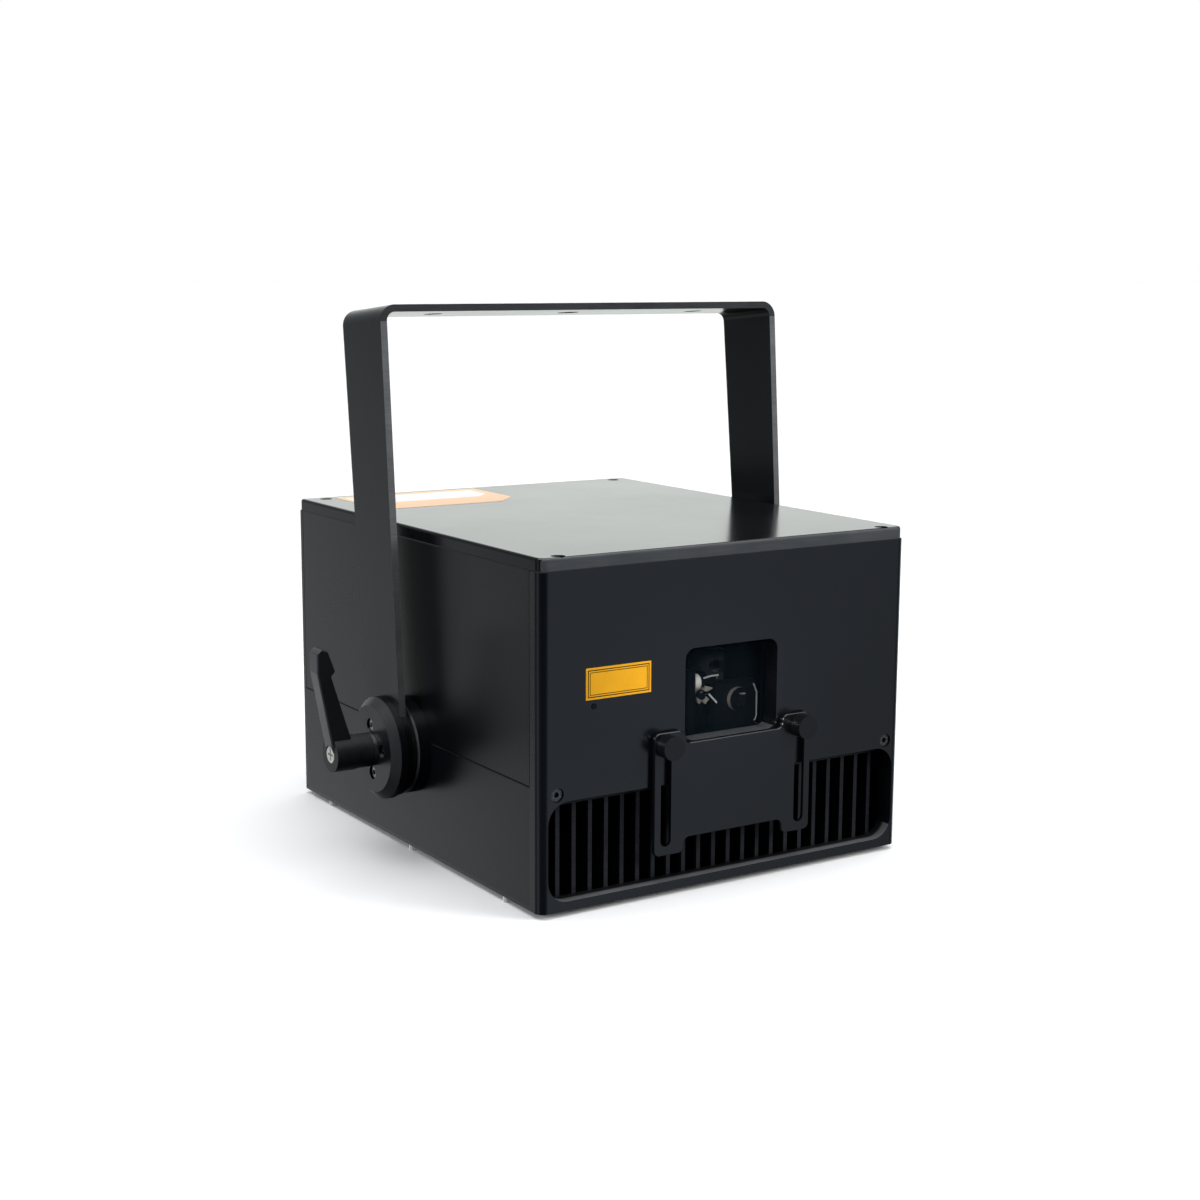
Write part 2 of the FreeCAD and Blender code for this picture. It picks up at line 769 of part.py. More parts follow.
boss_face = f"({half_width} + boss_thickness)"
washer_face = f"({boss_face} + washer_thickness - face_clearance)"
arm_inner = f"({boss_face} + washer_thickness)"
arm_outer = f"({arm_inner} + yoke_thickness)"
disc_face = f"({arm_outer} + disc_thickness)"
insert_base = f"({disc_face} + face_clearance)"
hub_base = f"({insert_base} + insert_flange + face_clearance)"
insert_end = f"({insert_base} + insert_length)"
ledge = f"({insert_end} + face_clearance)"
hub_end = f"({ledge} + hub_ledge + lever_lift + lever_head_height)"
stud_end = f"({insert_end} - insert_floor)"
boss_bore = "stud_radius + fit_clearance"
pivot_studs = []
side_bosses = []
friction_washers = []
for name, side in sides.items():
    stud_span = flipped(side, (f"{rail_inner} - stud_seat", stud_end))
    pivot_studs.append(rod("stud", "X", pivot, stud_span, "stud_radius"))
    boss_corners = [
        (f"{side} * {half_width}", boss_bore),
        (f"{side} * {half_width}", "boss_radius"),
        (f"{side} * ({boss_face} - boss_bevel)", "boss_radius"),
        (f"{side} * {boss_face}", "boss_radius - boss_bevel"),
        (f"{side} * {boss_face}", "spigot_radius"),
        (f"{side} * ({arm_outer} - face_clearance)", "spigot_radius"),
        (f"{side} * ({arm_outer} - face_clearance)", boss_bore),
    ]
    boss = turned(f"boss_{name}", boss_corners)
    place(boss, "0", pivot_y, pivot_z)
    side_bosses.append(boss)
    washer_span = flipped(side, (boss_face, washer_face))
    washer = rod("washer", "X", pivot, washer_span, "washer_radius")
    washer_bore = rod("washer_bore", "X", pivot, washer_span, "spigot_radius + hole_clearance")
    friction_washers.append(cut("washer_cut", washer, [washer_bore]))
finish("pivot_studs", group("stud_group", pivot_studs))
finish("side_bosses", group("boss_group", side_bosses))
finish("friction_washers", group("washer_group", friction_washers))


# Yoke, drawn upright about its pivot and then leant back

at_pivot = ("0", "0")
arm_low = "-yoke_end_radius"
bar_under = "(yoke_rise - yoke_thickness)"
yoke_corners = [
    (f"-{arm_outer}", arm_low),
    (f"-{arm_outer}", "yoke_rise"),
    (arm_outer, "yoke_rise"),
    (arm_outer, arm_low),
    (arm_inner, arm_low),
    (arm_inner, bar_under),
    (f"-{arm_inner}", bar_under),
    (f"-{arm_inner}", arm_low),
]
yoke_blank = prism("yoke_blank", "XZ_Plane", yoke_corners, ("-yoke_end_radius", "yoke_end_radius"))
soften(yoke_blank, "Fillet", "yoke_bend", "y", z="high")
soften(yoke_blank, "Fillet", "yoke_bend - yoke_thickness", "y", z=bar_under)
arm_corners = [
    ("-yoke_low_width / 2", "-yoke_end_radius / 2"),
    ("yoke_low_width / 2", "-yoke_end_radius / 2"),
    ("yoke_top_width / 2", "yoke_rise"),
    ("-yoke_top_width / 2", "yoke_rise"),
]
across_yoke = (f"-{arm_outer}", arm_outer)
arm_shape = prism("arm_shape", "YZ_Plane", arm_corners, across_yoke)
arm_end = rod("arm_end", "X", at_pivot, across_yoke, "yoke_end_radius")
yoke_body = common("yoke_body", yoke_blank, join("yoke_side", [arm_shape, arm_end]))
bolt_spots = []
for step in (-1, 1):
    bolt_spots.append((f"{step} * disc_bolt_circle", "0"))
    bolt_spots.append(("0", f"{step} * disc_bolt_circle"))
yoke_holes = [rod("pivot_hole", "X", at_pivot, across_yoke, "spigot_radius + fit_clearance")]
for spot in bolt_spots:
    yoke_holes.append(rod("bolt_hole", "X", spot, across_yoke, "screw_radius + fit_clearance"))
bar_hole = (bar_under, "yoke_rise")
yoke_holes.append(rod("middle_hole", "Z", at_pivot, bar_hole, "yoke_hole_radius"))
for side in sides.values():
    spot = (f"{side} * yoke_hole_spacing", "0")
    yoke_holes.append(rod("side_hole", "Z", spot, bar_hole, "yoke_side_hole_radius"))
yoke = finish("yoke", cut("yoke_cut", yoke_body, yoke_holes))

clamp_discs = []
disc_screws = []
disc_seat = f"({disc_face} - cap_recess)"
for name, side in sides.items():
    bore = "stud_radius + hole_clearance"
    disc_corners = [
        (f"{side} * {arm_outer}", bore),
        (f"{side} * {arm_outer}", "disc_radius"),
        (f"{side} * ({disc_face} - disc_bevel)", "disc_radius"),
        (f"{side} * {disc_face}", "disc_radius - disc_bevel"),
        (f"{side} * {disc_face}", bore),
    ]
    disc = turned(f"disc_blank_{name}", disc_corners)
    disc_tools = []
    for spot in bolt_spots:
        through = flipped(side, (arm_outer, disc_face))
        disc_tools.append(rod("disc_hole", "X", spot, through, "screw_radius + hole_clearance"))
        recess = flipped(side, (disc_seat, f"{disc_face} + 1"))
        disc_tools.append(rod("disc_recess", "X", spot, recess, "cap_radius + hole_clearance"))
        seat = f"{side} * {disc_seat}"
        shank = "disc_thickness - cap_recess + yoke_thickness"
        disc_screws.append(cap_screw("X", spot, seat, side, shank))
    clamp_discs.append(cut(f"disc_cut_{name}", disc, disc_tools))
discs = finish("clamp_discs", group("disc_group", clamp_discs))
screws = finish("clamp_disc_screws", group("disc_screw_group", disc_screws))
for feature in (yoke, discs, screws):
    place(feature, "0", pivot_y, pivot_z, axis_x, "-yoke_tilt")


# Clamp levers: threaded insert on the stud, retaining screw in the insert, lever over both

for name, side in sides.items():
    flange = rod("flange", "X", pivot, flipped(side, (insert_base, f"{insert_base} + insert_flange")),
                 "insert_flange_radius")
    barrel = rod("barrel", "X", pivot, flipped(side, (insert_base, insert_end)), "insert_radius")
    stud_bore = rod("stud_bore", "X", pivot, flipped(side, (insert_base, f"{stud_end} + face_clearance")),
                    "stud_radius + fit_clearance")
    screw_bore = rod("screw_bore", "X", pivot, flipped(side, (stud_end, insert_end)),
                     "lever_screw_radius + fit_clearance")
    insert_blank = join(f"insert_blank_{name}", [flange, barrel])
    finish(f"lever_insert_{name}", cut(f"insert_cut_{name}", insert_blank, [stud_bore, screw_bore]))

    head_base = f"({hub_end} - lever_head_height)"
    head = rod("lever_head", "X", pivot, flipped(side, (head_base, hub_end)), "lever_head_radius")
    shank_span = flipped(side, (f"{stud_end} + 2 * face_clearance", head_base))
    shank = rod("lever_shank", "X", pivot, shank_span, "lever_screw_radius")
    cross_x = flipped(side, (f"{hub_end} - lever_head_height / 2", hub_end))
    bar = "1.4 * lever_head_radius"
    upright = block("cross_upright", cross_x, about(pivot_y, "lever_head_slot"), about(pivot_z, bar))
    level = block("cross_level", cross_x, about(pivot_y, bar), about(pivot_z, "lever_head_slot"))
    screw_blank = join(f"lever_screw_blank_{name}", [head, shank])
    finish(f"lever_screw_{name}", cut(f"lever_screw_cut_{name}", screw_blank, [upright, level]))

    root = f"({hub_end} - lever_root)"
    collar = rod("collar", "X", pivot, flipped(side, (hub_base, root)), "collar_radius")
    hub = rod("hub", "X", pivot, flipped(side, (root, hub_end)), "hub_radius")
    tip_low = f"({pivot_z} + lever_length - lever_tip)"
    tip_top = f"({pivot_z} + lever_length)"
    tip_outer = f"({hub_end} + lever_lean)"
    notch = f"({tip_outer} - lever_neck)"
    arm_points = [
        (root, pivot_z),
        (hub_end, pivot_z),
        (tip_outer, f"{tip_low} + lever_beak"),
        (tip_outer, f"{tip_top} - lever_beak"),
        (f"{tip_outer} - lever_beak", tip_top),
        (f"{tip_outer} - lever_crown", f"{tip_top} - lever_rounding"),
        (f"{notch} - lever_beak", f"{tip_low} + lever_beak"),
        (notch, tip_low),
        (f"{hub_end} - lever_shoulder", f"{pivot_z} + hub_radius"),
    ]
    arm = prism(f"lever_arm_{name}", "XZ_Plane", [(f"{side} * ({x})", z) for x, z in arm_points],
                about(pivot_y, "lever_width"))
    soften(arm, "Fillet", "lever_rounding", "y")
    soften(arm, "Fillet", "lever_edge", y="low")
    soften(arm, "Fillet", "lever_edge", y="high")
    socket_x = flipped(side, (hub_base, ledge))
    socket = rod("lever_socket", "X", pivot, socket_x, "insert_radius + fit_clearance")
    passage = rod("lever_passage", "X", pivot, flipped(side, (hub_base, hub_end)),
                  "lever_screw_radius + hole_clearance")
    recess_x = flipped(side, (f"{ledge} + hub_ledge", f"{hub_end} + lever_lean"))
    recess = rod("lever_recess", "X", pivot, recess_x, "lever_head_radius + hole_clearance")
    lever_blank = join(f"lever_blank_{name}", [collar, hub, arm])
    finish(f"clamp_lever_{name}", cut(f"lever_cut_{name}", lever_blank, [socket, passage, recess]))


# Scanner: one galvo along X over one along Y, in a common mount on the deck

scan_y = f"({panel_back} + glass_thickness + frame_back + galvo_radius + galvo_wall + scan_room)"
scan_z = f"({window_z[0]} + window_height / 2)"
beam_z = f"({scan_z} - mirror_width - scan_gap)"
upper_nose = "(scan_offset - mirror_length / 2 - running_gap)"
upper_front = f"({upper_nose} - galvo_nose)"
lower_nose = f"({scan_y} + mirror_length / 2 + running_gap)"
lower_front = f"({lower_nose} + galvo_nose)"
upper_axis = (scan_y, scan_z)
lower_axis = ("scan_offset", beam_z)
upper_body = (f"{upper_front} - galvo_length", upper_front)
lower_body = (lower_front, f"{lower_front} + galvo_length")
galvo_case = "(galvo_radius + galvo_wall)"
upper_seat_x = (f"{upper_front} - galvo_seat", upper_front)
lower_seat_y = (lower_front, f"{lower_front} + galvo_seat")
upper_column = block(
    "upper_column",
    upper_seat_x,
    (f"{scan_y} - {galvo_case}", lower_seat_y[1]),
    (deck, f"{scan_z} + {galvo_case}"),
)
lower_column = block(
    "lower_column",
    (upper_seat_x[1], f"scan_offset + {galvo_case}"),
    lower_seat_y,
    (deck, f"{beam_z} + {galvo_case}"),
)
bores = [
    rod("upper_bore", "X", upper_axis, upper_body, "galvo_radius + fit_clearance"),
    rod("lower_bore", "Y", lower_axis, lower_body, "galvo_radius + fit_clearance"),
]
finish("galvo_mount", cut("galvo_mount_cut", join("galvo_mount_blank", [upper_column, lower_column]), bores))


def galvo(label, axis, centre, case, nose, shaft):
    case_rod = rod(f"{label}_case", axis, centre, case, "galvo_radius")
    nose_rod = rod(f"{label}_nose", axis, centre, nose, "galvo_nose_radius")
    bore = rod(f"{label}_bore", axis, centre, shaft, "mirror_shaft + fit_clearance")
    finish(label, cut(f"{label}_cut", join(f"{label}_blank", [case_rod, nose_rod]), [bore]))


upper_shaft = (f"{upper_nose} - mirror_stub - running_gap", upper_nose)
lower_shaft = (lower_nose, f"{lower_nose} + mirror_stub + running_gap")
galvo("galvo_motor_upper", "X", upper_axis, upper_body, (upper_front, upper_nose), upper_shaft)
galvo("galvo_motor_lower", "Y", lower_axis, lower_body, (lower_nose, lower_front), lower_shaft)


# Scanner mirror about its own middle: shaft, collar and a blade with a tapered neck towards the shaft.
def scan_mirror(label, direction):
    collar_end = "(mirror_length / 2 - mirror_collar_length)"
    corners = [
        ("-mirror_length / 2", "-mirror_width / 2"),
        (f"{collar_end} - mirror_neck", "-mirror_width / 2"),
        (collar_end, "-mirror_collar"),
        (collar_end, "mirror_collar"),
        (f"{collar_end} - mirror_neck", "mirror_width / 2"),
        ("-mirror_length / 2", "mirror_width / 2"),
    ]
    axis = "X" if direction < 0 else "Y"
    points = [(f"{direction} * ({along_axis})", across) for along_axis, across in corners]
    if axis == "Y":
        points = [(across, along_axis) for along_axis, across in points]
    blade = prism(f"{label}_blade", "XY_Plane", points, about("0", "mirror_thickness"))
    collar_span = (collar_end, "mirror_length / 2")
    shaft_span = ("mirror_length / 2", "mirror_length / 2 + running_gap + mirror_stub")
    collar = rod(f"{label}_collar", axis, at_pivot, flipped(direction, collar_span), "mirror_collar")
    shaft = rod(f"{label}_shaft", axis, at_pivot, flipped(direction, shaft_span), "mirror_shaft")
    return finish(label, join(f"{label}_join", [blade, collar, shaft]))


upper_mirror = scan_mirror("galvo_mirror_upper", -1)
place(upper_mirror, "scan_offset", scan_y, scan_z, axis_x, "-45")
lower_mirror = scan_mirror("galvo_mirror_lower", 1)
place(lower_mirror, "scan_offset", scan_y, beam_z, axis_y, "45")


# Laser modules, combining optics and the steering mount on the deck

def laser_module(label, x, y, nose_axis, nose_centre, nose_span):
    case = block(f"{label}_case", x, y, (deck, f"{deck} + laser_height"))
    nose = rod(f"{label}_nose", nose_axis, nose_centre, nose_span, "laser_nose_radius")
    finish(label, join(f"{label}_join", [case, nose]))


case_end = "(beam_offset - laser_gap - laser_nose)"
case_x = (f"{case_end} - laser_length", case_end)
nose_x = (case_end, f"{case_end} + laser_nose")
blue_y = f"({lower_body[1]} + laser_space + laser_width / 2)"
red_y = f"({blue_y} + laser_space + laser_width)"
laser_module("laser_module_blue", case_x, about(blue_y, "laser_width"), "X", (blue_y, beam_z), nose_x)
laser_module("laser_module_red", case_x, about(red_y, "laser_width"), "X", (red_y, beam_z), nose_x)
green_front = f"({red_y} + optic_size / 2 + holder_thickness + laser_nose + laser_space)"
green_y = (green_front, f"{green_front} + laser_length")
green_nose = (f"{green_front} - laser_nose", green_front)
green_x = about("beam_offset", "laser_width")
laser_module("laser_module_green", green_x, green_y, "Y", ("beam_offset", beam_z), green_nose)


# A flat optic at 45 degrees across the beam, its front face on the beam line, with a holder behind it.
def tilted_plate(name, y, angle, near, far, z):
    feature = block(name, about("0", "optic_size"), (near, far), z)
    place(feature, "0", "0", z[0])
    feature.Placement = FreeCAD.Placement(FreeCAD.Vector(), FreeCAD.Rotation(axis_z, angle))
    turn = FreeCAD.Rotation(axis_z, angle)
    corner = turn.multVec(FreeCAD.Vector(-0.5, 0, 0))
    inward = turn.multVec(FreeCAD.Vector(0, 1, 0))
    x_text = f"beam_offset + {corner.x} * optic_size + {inward.x} * ({near})"
    y_text = f"{y} + {corner.y} * optic_size + {inward.y} * ({near})"
    place(feature, x_text, y_text, z[0])
    return feature


optic_z = about(beam_z, "optic_size")
holder_z = (deck, optic_z[1])
mirrors = []
holders = []
optics = [(red_y, 135), (blue_y, 135), (scan_y, -45)]
for y, angle in optics:
    plate = tilted_plate("optic", y, angle, "0", "optic_thickness", optic_z)
    holder_back = "optic_thickness + holder_thickness"
    holder = tilted_plate("holder", y, angle, "optic_thickness", holder_back, holder_z)
    mirrors.append(plate)
    holders.append(holder)
finish("beam_mirrors", group("beam_mirror_group", mirrors))
light_holes = []
for y, angle in optics[:2]:
    hole_y = about(y, "2 * optic_size")
    light_holes.append(rod("light_hole", "Y", ("beam_offset", beam_z), hole_y, "laser_nose_radius"))
drilled = [cut("holder_cut", holder, [hole]) for holder, hole in zip(holders, light_holes)]
finish("mirror_holders", group("holder_group", drilled + holders[2:]))

mount_front = f"({scan_y} + steering_length + mount_gap)"
mount_y = (mount_front, f"{mount_front} + mount_thickness")
mount_top = f"({scan_z} - mount_drop)"
mount_left = "(mount_offset - mount_width / 2)"
mount_right = "(mount_offset + mount_width / 2)"
mount_corners = [
    (mount_left, deck),
    (mount_right, deck),
    (mount_right, f"{mount_top} - mount_corner"),
    (f"{mount_right} - mount_corner / 2", mount_top),
    (mount_left, mount_top),
]
steering_centre = ("mount_offset", f"{beam_z} - steering_drop")
screw_hole = rod("steering_hole", "Y", steering_centre, mount_y, "screw_radius + fit_clearance")
mount_blank = prism("mount_blank", "XZ_Plane", mount_corners, mount_y)
mount_plate = cut("mount_cut", mount_blank, [screw_hole])
disc_y = (f"{mount_y[0]} - steering_length", mount_y[0])
steering_disc = rod("steering_disc", "Y", steering_centre, disc_y, "steering_radius")
steering_shank = rod("steering_shank", "Y", steering_centre, mount_y, "screw_radius")
slot_y = (disc_y[0], f"{disc_y[0]} + steering_length / 2")
steering_slot = block("steering_slot", about("mount_offset", "steering_slot"), slot_y,
                      about(steering_centre[1], "steering_radius"))
steering_blank = join("steering_blank", [steering_disc, steering_shank])
steering_screw = cut("steering_cut", steering_blank, [steering_slot])
finish("steering_mount", group("steering_group", [mount_plate, steering_screw]))

supply_back = f"({rear_inner} - rear_room)"
supply_left = f"-({side_inner} - board_standoff - board_thickness - chip_height - supply_gap)"
supply_x = (supply_left, f"{supply_left} + supply_width")
supply_y = (f"{supply_back} - supply_length", supply_back)
finish("power_supply", block("supply", supply_x, supply_y, (deck, f"{deck} + supply_height")))


# A circuit board on posts against a side panel, with a row of chips on its inner face.
def board(label, side, y):
    face = f"({side_inner} - board_standoff)"
    inner = f"({face} - board_thickness)"
    z = (f"{deck} + board_rise", f"{deck} + board_rise + board_height")
    pieces = [block(f"{label}_sheet", flipped(side, (inner, face)), y, z)]
    post_x = flipped(side, (face, side_inner))
    for post_y in (f"{y[0]} + board_margin", f"{y[1]} - board_margin"):
        for post_z in (f"{z[0]} + board_margin", f"{z[1]} - board_margin"):
            pieces.append(rod(f"{label}_post", "X", (post_y, post_z), post_x, "post_radius"))
    chip_x = flipped(side, (f"{inner} - chip_height", inner))
    middle_y = f"({y[0]} + board_length / 2)"
    middle_z = f"({z[0]} + board_height / 2)"
    for step in (-1, 0, 1):
        chip_y = about(f"{middle_y} + {step} * board_length / 3.5", "chip_size")
        pieces.append(block(f"{label}_chip", chip_x, chip_y, about(middle_z, "chip_size")))
    finish(label, join(f"{label}_join", pieces))


board("galvo_driver_board", -1, (f"{front} + board_depth", f"{front} + board_depth + board_length"))
board("control_board", 1, (f"{supply_back} - board_length", supply_back))


# Fans at the rear end of the fin tunnel

fan_size = f"({deck_under} - {bottom_top} - 2 * fan_gap)"
fan_z = f"(({deck_under} + {bottom_top}) / 2)"
fan_bore = f"({fan_size} / 2 - fan_wall)"
fan_front = f"({rear_inner} - fan_thickness)"
fan_hub_length = "(fan_thickness - fan_stator - running_gap - fan_recess)"
stator_y = (f"{rear_inner} - fan_stator", rear_inner)
rotor_front = f"({fan_front} + fan_recess)"
blade_count = 7
fan_frames = []
for side in sides.values():
    centre = (f"{side} * fan_offset", fan_z)
    shell = block("fan_shell", about(centre[0], fan_size), (fan_front, rear_inner), about(fan_z, fan_size))
    shell_bore = rod("shell_bore", "Y", centre, (fan_front, rear_inner), fan_bore)
    ring = cut("fan_ring", shell, [shell_bore])
    stator = rod("stator", "Y", centre, stator_y, "fan_hub_radius")
    reach = f"{fan_size} - fan_wall"
    level = block("strut_level", about(centre[0], reach), stator_y, about(fan_z, "fan_strut"))
    upright = block("strut_upright", about(centre[0], "fan_strut"), stator_y, about(fan_z, reach))
    shaft_bore = rod("shaft_bore", "Y", centre, stator_y, "fan_shaft + fit_clearance")
    fan_frames.append(cut("fan_frame", join("fan_blank", [ring, stator, level, upright]), [shaft_bore]))
finish("fan_frames", group("fan_frame_group", fan_frames))

for name, side in sides.items():
    hub = rod("rotor_hub", "Y", at_pivot, ("0", fan_hub_length), "fan_hub_radius")
    shaft_span = (fan_hub_length, f"{fan_hub_length} + running_gap + fan_stator")
    shaft = rod("rotor_shaft", "Y", at_pivot, shaft_span, "fan_shaft")
    blades = []
    for step in range(blade_count):
        blade = block("blade", about("0", "fan_blade_thickness"), about("0", "fan_blade_width"),
                      ("fan_hub_radius / 2", f"{fan_bore} - fan_tip_gap"))
        pitch = FreeCAD.Rotation(axis_z, number("fan_blade_pitch"))
        spin = FreeCAD.Rotation(axis_y, step * 360 / blade_count)
        turn = spin.multiply(pitch)
        feet = turn.multVec(FreeCAD.Vector(-number("fan_blade_thickness") / 2, -number("fan_blade_width") / 2,
                                           number("fan_hub_radius") / 2))
        blade.Placement = FreeCAD.Placement(FreeCAD.Vector(), turn)
        place(blade, str(feet.x), f"{feet.y} + {fan_hub_length} / 2", str(feet.z))
        blades.append(blade)
    sweep = rod("sweep", "Y", at_pivot, ("0", fan_hub_length), f"{fan_bore} - fan_tip_gap")
    trimmed = common("blades_trimmed", join("blade_join", blades), sweep)
    rotor = finish(f"fan_rotor_{name}", join(f"rotor_{name}", [hub, shaft, trimmed]))
    place(rotor, f"{side} * fan_offset", rotor_front, fan_z)


# Rear panel with its sockets, display, menu knob, key switch and safety eye

bezel_height = "(display_height + 2 * display_lip)"
row_space = f"(({lid_under} - {deck} - control_height - {bezel_height}) / 3)"
low_row = f"({deck} + {row_space} + control_height / 2)"
high_row = f"({lid_under} - {row_space} - {bezel_height} / 2)"
inlet_side = "(inlet_width / 2 + inlet_rim)"
collar_radius = "(key_barrel_radius + plate_proud)"
bezel_side = "(display_width / 2 + display_lip)"
inlet_x = f"(row_margin + {inlet_side} - {half_width})"
key_x = f"({inlet_x} + {inlet_side} + row_gap + {collar_radius})"
network_x = f"({half_width} - row_margin - network_size / 2)"
control_x = f"({network_x} - network_size / 2 - row_gap - control_width / 2)"
signal_x = f"(row_margin + signal_width / 2 - {half_width})"
eye_x = f"({signal_x} + signal_width / 2 + row_gap + eye_flange_radius)"
display_x = f"({eye_x} + eye_flange_radius + row_gap + {bezel_side})"
menu_x = f"({half_width} - row_margin - menu_radius)"
through_rear = (rear_inner, back)
proud = (back, f"{back} + plate_proud")
rear_blank = slab("rear_blank", across_body, through_rear, (bottom_top, lid_under))
soften(rear_blank, "Fillet", "rear_radius", "z", y="high")
soften(rear_blank, "Chamfer", "edge_bevel", y="high")
rear_tools = []
for x, z in rear_screw_spots:
    rear_tools.append(rod("rear_hole", "Y", (x, z), through_rear, "screw_radius + hole_clearance"))
slot_steps = (-3, -2, -1, 0, 1, 2, 3)
for side in sides.values():
    for step in slot_steps:
        x = about(f"{side} * fan_offset + {step} * fan_slot_pitch", "fan_slot_width")
        rear_tools.append(block("fan_slot", x, through_rear, about(fan_z, "fan_slot_height")))


def panel_cutout(name, x, z, width, height):
    opening_x = about(x, f"{width} + 2 * hole_clearance")
    opening_z = about(z, f"{height} + 2 * hole_clearance")
    rear_tools.append(block(f"{name}_cutout", opening_x, through_rear, opening_z))


def panel_hole(name, centre, radius):
    rear_tools.append(rod(f"{name}_hole", "Y", centre, through_rear, f"{radius} + hole_clearance"))


panel_cutout("inlet", inlet_x, low_row, "inlet_width", "inlet_height")
inlet_inside = (f"{back} - inlet_depth", back)
inlet_plate = block("inlet_plate", about(inlet_x, f"2 * {inlet_side}"), proud,
                    about(low_row, "inlet_height + inlet_rim"))
inlet_shell = block("inlet_shell", about(inlet_x, "inlet_width"), inlet_inside,
                    about(low_row, "inlet_height"))
inlet_mouth = block("inlet_mouth", about(inlet_x, "inlet_width - 2 * inlet_wall"),
                    (f"{inlet_inside[0]} + inlet_floor", proud[1]),
                    about(low_row, "inlet_height - 2 * inlet_wall"))
inlet_hollow = cut("inlet_hollow", join("inlet_blank", [inlet_plate, inlet_shell]), [inlet_mouth])
pin_y = (f"{inlet_inside[0]} + inlet_floor / 2", f"{inlet_inside[0]} + inlet_floor + inlet_pin")
inlet_pins = []
for step in (-1, 0, 1):
    pin_x = about(f"{inlet_x} + {step} * inlet_pin_pitch", "inlet_pin_width")
    pin_z = f"{low_row} + {1 - 2 * abs(step)} * inlet_pin_height / 2"
    inlet_pins.append(block("inlet_pin", pin_x, pin_y, about(pin_z, "inlet_pin_height")))
finish("power_inlet", join("inlet_join", [inlet_hollow] + inlet_pins))

control_sockets = []
for step in (0, 1):
    x = f"({control_x} - {step} * (control_width + row_gap))"
    panel_hole("control", (x, low_row), "control_radius")
    plate = block("control_plate", about(x, "control_width"), proud, about(low_row, "control_height"))
    shell = rod("control_shell", "Y", (x, low_row), (f"{back} - control_depth", back), "control_radius")
    cavity_y = (f"{back} - control_depth + control_floor", proud[1])
    cavity = rod("control_mouth", "Y", (x, low_row), cavity_y, "control_cavity")
    hollow = cut("control_hollow", join("control_blank", [plate, shell]), [cavity])
    pin_y = (
        f"{back} - control_depth + control_floor / 2",
        f"{back} - control_depth + control_floor + control_pin",
    )
    pins = []
    for across, up in ((-1, 0), (1, 0), (0, -1)):
        spot = (f"{x} + {across} * control_pin_circle", f"{low_row} + {up} * control_pin_circle")
        pins.append(rod("control_pin", "Y", spot, pin_y, "control_pin_radius"))
    control_sockets.append(join("control_socket", [hollow] + pins))
finish("control_sockets", group("control_group", control_sockets))

panel_cutout("network", network_x, low_row, "network_size", "network_size")
network_y = (f"{back} - network_depth", f"{back} + plate_proud / 2")
network_blank = block("network_blank", about(network_x, "network_size"), network_y,
                      about(low_row, "network_size"))
network_mouth = block("network_mouth", about(network_x, "network_cavity"),
                      (f"{network_y[1]} - network_cavity_depth", network_y[1]),
                      about(low_row, "network_cavity_height"))
finish("network_socket", cut("network_cut", network_blank, [network_mouth]))

panel_cutout("signal", signal_x, high_row, "signal_shell", "signal_shell_height")
signal_plate = block("signal_plate", about(signal_x, "signal_width"), (back, f"{back} + signal_plate"),
                     about(high_row, "signal_height"))
signal_shell = block("signal_shell", about(signal_x, "signal_shell"),
                     (f"{back} - signal_depth", f"{back} + signal_proud"),
                     about(high_row, "signal_shell_height"))
finish("signal_socket", join("signal_join", [signal_plate, signal_shell]))

panel_cutout("display", display_x, high_row, "display_width", "display_height")
bezel = block("bezel", about(display_x, f"2 * {bezel_side}"), (back, f"{back} + display_proud"),
              about(high_row, bezel_height))
display_body = block("display_body", about(display_x, "display_width"), (f"{back} - display_depth", back),
                     about(high_row, "display_height"))
finish("display_module", join("display_join", [bezel, display_body]))

menu_centre = (menu_x, high_row)
rear_tools.append(rod("menu_hole", "Y", menu_centre, through_rear, "menu_shaft + fit_clearance"))
grip_base = f"{back} + face_clearance"
clip_end = f"{rear_inner} - face_clearance"
grip = rod("menu_grip", "Y", menu_centre, (grip_base, f"{grip_base} + menu_length"), "menu_radius")
menu_shaft = rod("menu_shaft_rod", "Y", menu_centre, (clip_end, grip_base), "menu_shaft")
menu_clip = rod("menu_clip_ring", "Y", menu_centre, (f"{clip_end} - menu_clip_length", clip_end), "menu_clip")
finish("menu_knob", join("menu_join", [grip, menu_shaft, menu_clip]))

key_centre = (key_x, low_row)
panel_hole("key", key_centre, "key_barrel_radius")
barrel_end = f"({back} + key_barrel_proud)"
barrel = rod("key_barrel", "Y", key_centre, (f"{back} - key_barrel_depth", barrel_end), "key_barrel_radius")
collar = rod("key_collar", "Y", key_centre, (back, barrel_end), collar_radius)
plug_y = (f"{barrel_end} - key_plug_length", barrel_end)
plug_bore = rod("plug_bore", "Y", key_centre, (f"{plug_y[0]} - face_clearance", barrel_end),
                "key_plug_radius + fit_clearance")
finish("key_switch", cut("key_switch_cut", join("key_switch_blank", [barrel, collar]), [plug_bore]))
plug = rod("key_plug", "Y", key_centre, plug_y, "key_plug_radius")
stem = block("key_blade", about(key_x, "key_thickness"), (barrel_end, f"{barrel_end} + key_stem"),
             about(low_row, "key_stem_width"))
bow = slab("key_bow", about(key_x, "key_thickness"),
           (f"{barrel_end} + key_stem", f"{barrel_end} + key_stem + key_bow"),
           about(low_row, "key_bow_width"))
soften(bow, "Fillet", "key_bow / 3", "x")
finish("key", join("key_join", [plug, stem, bow]))

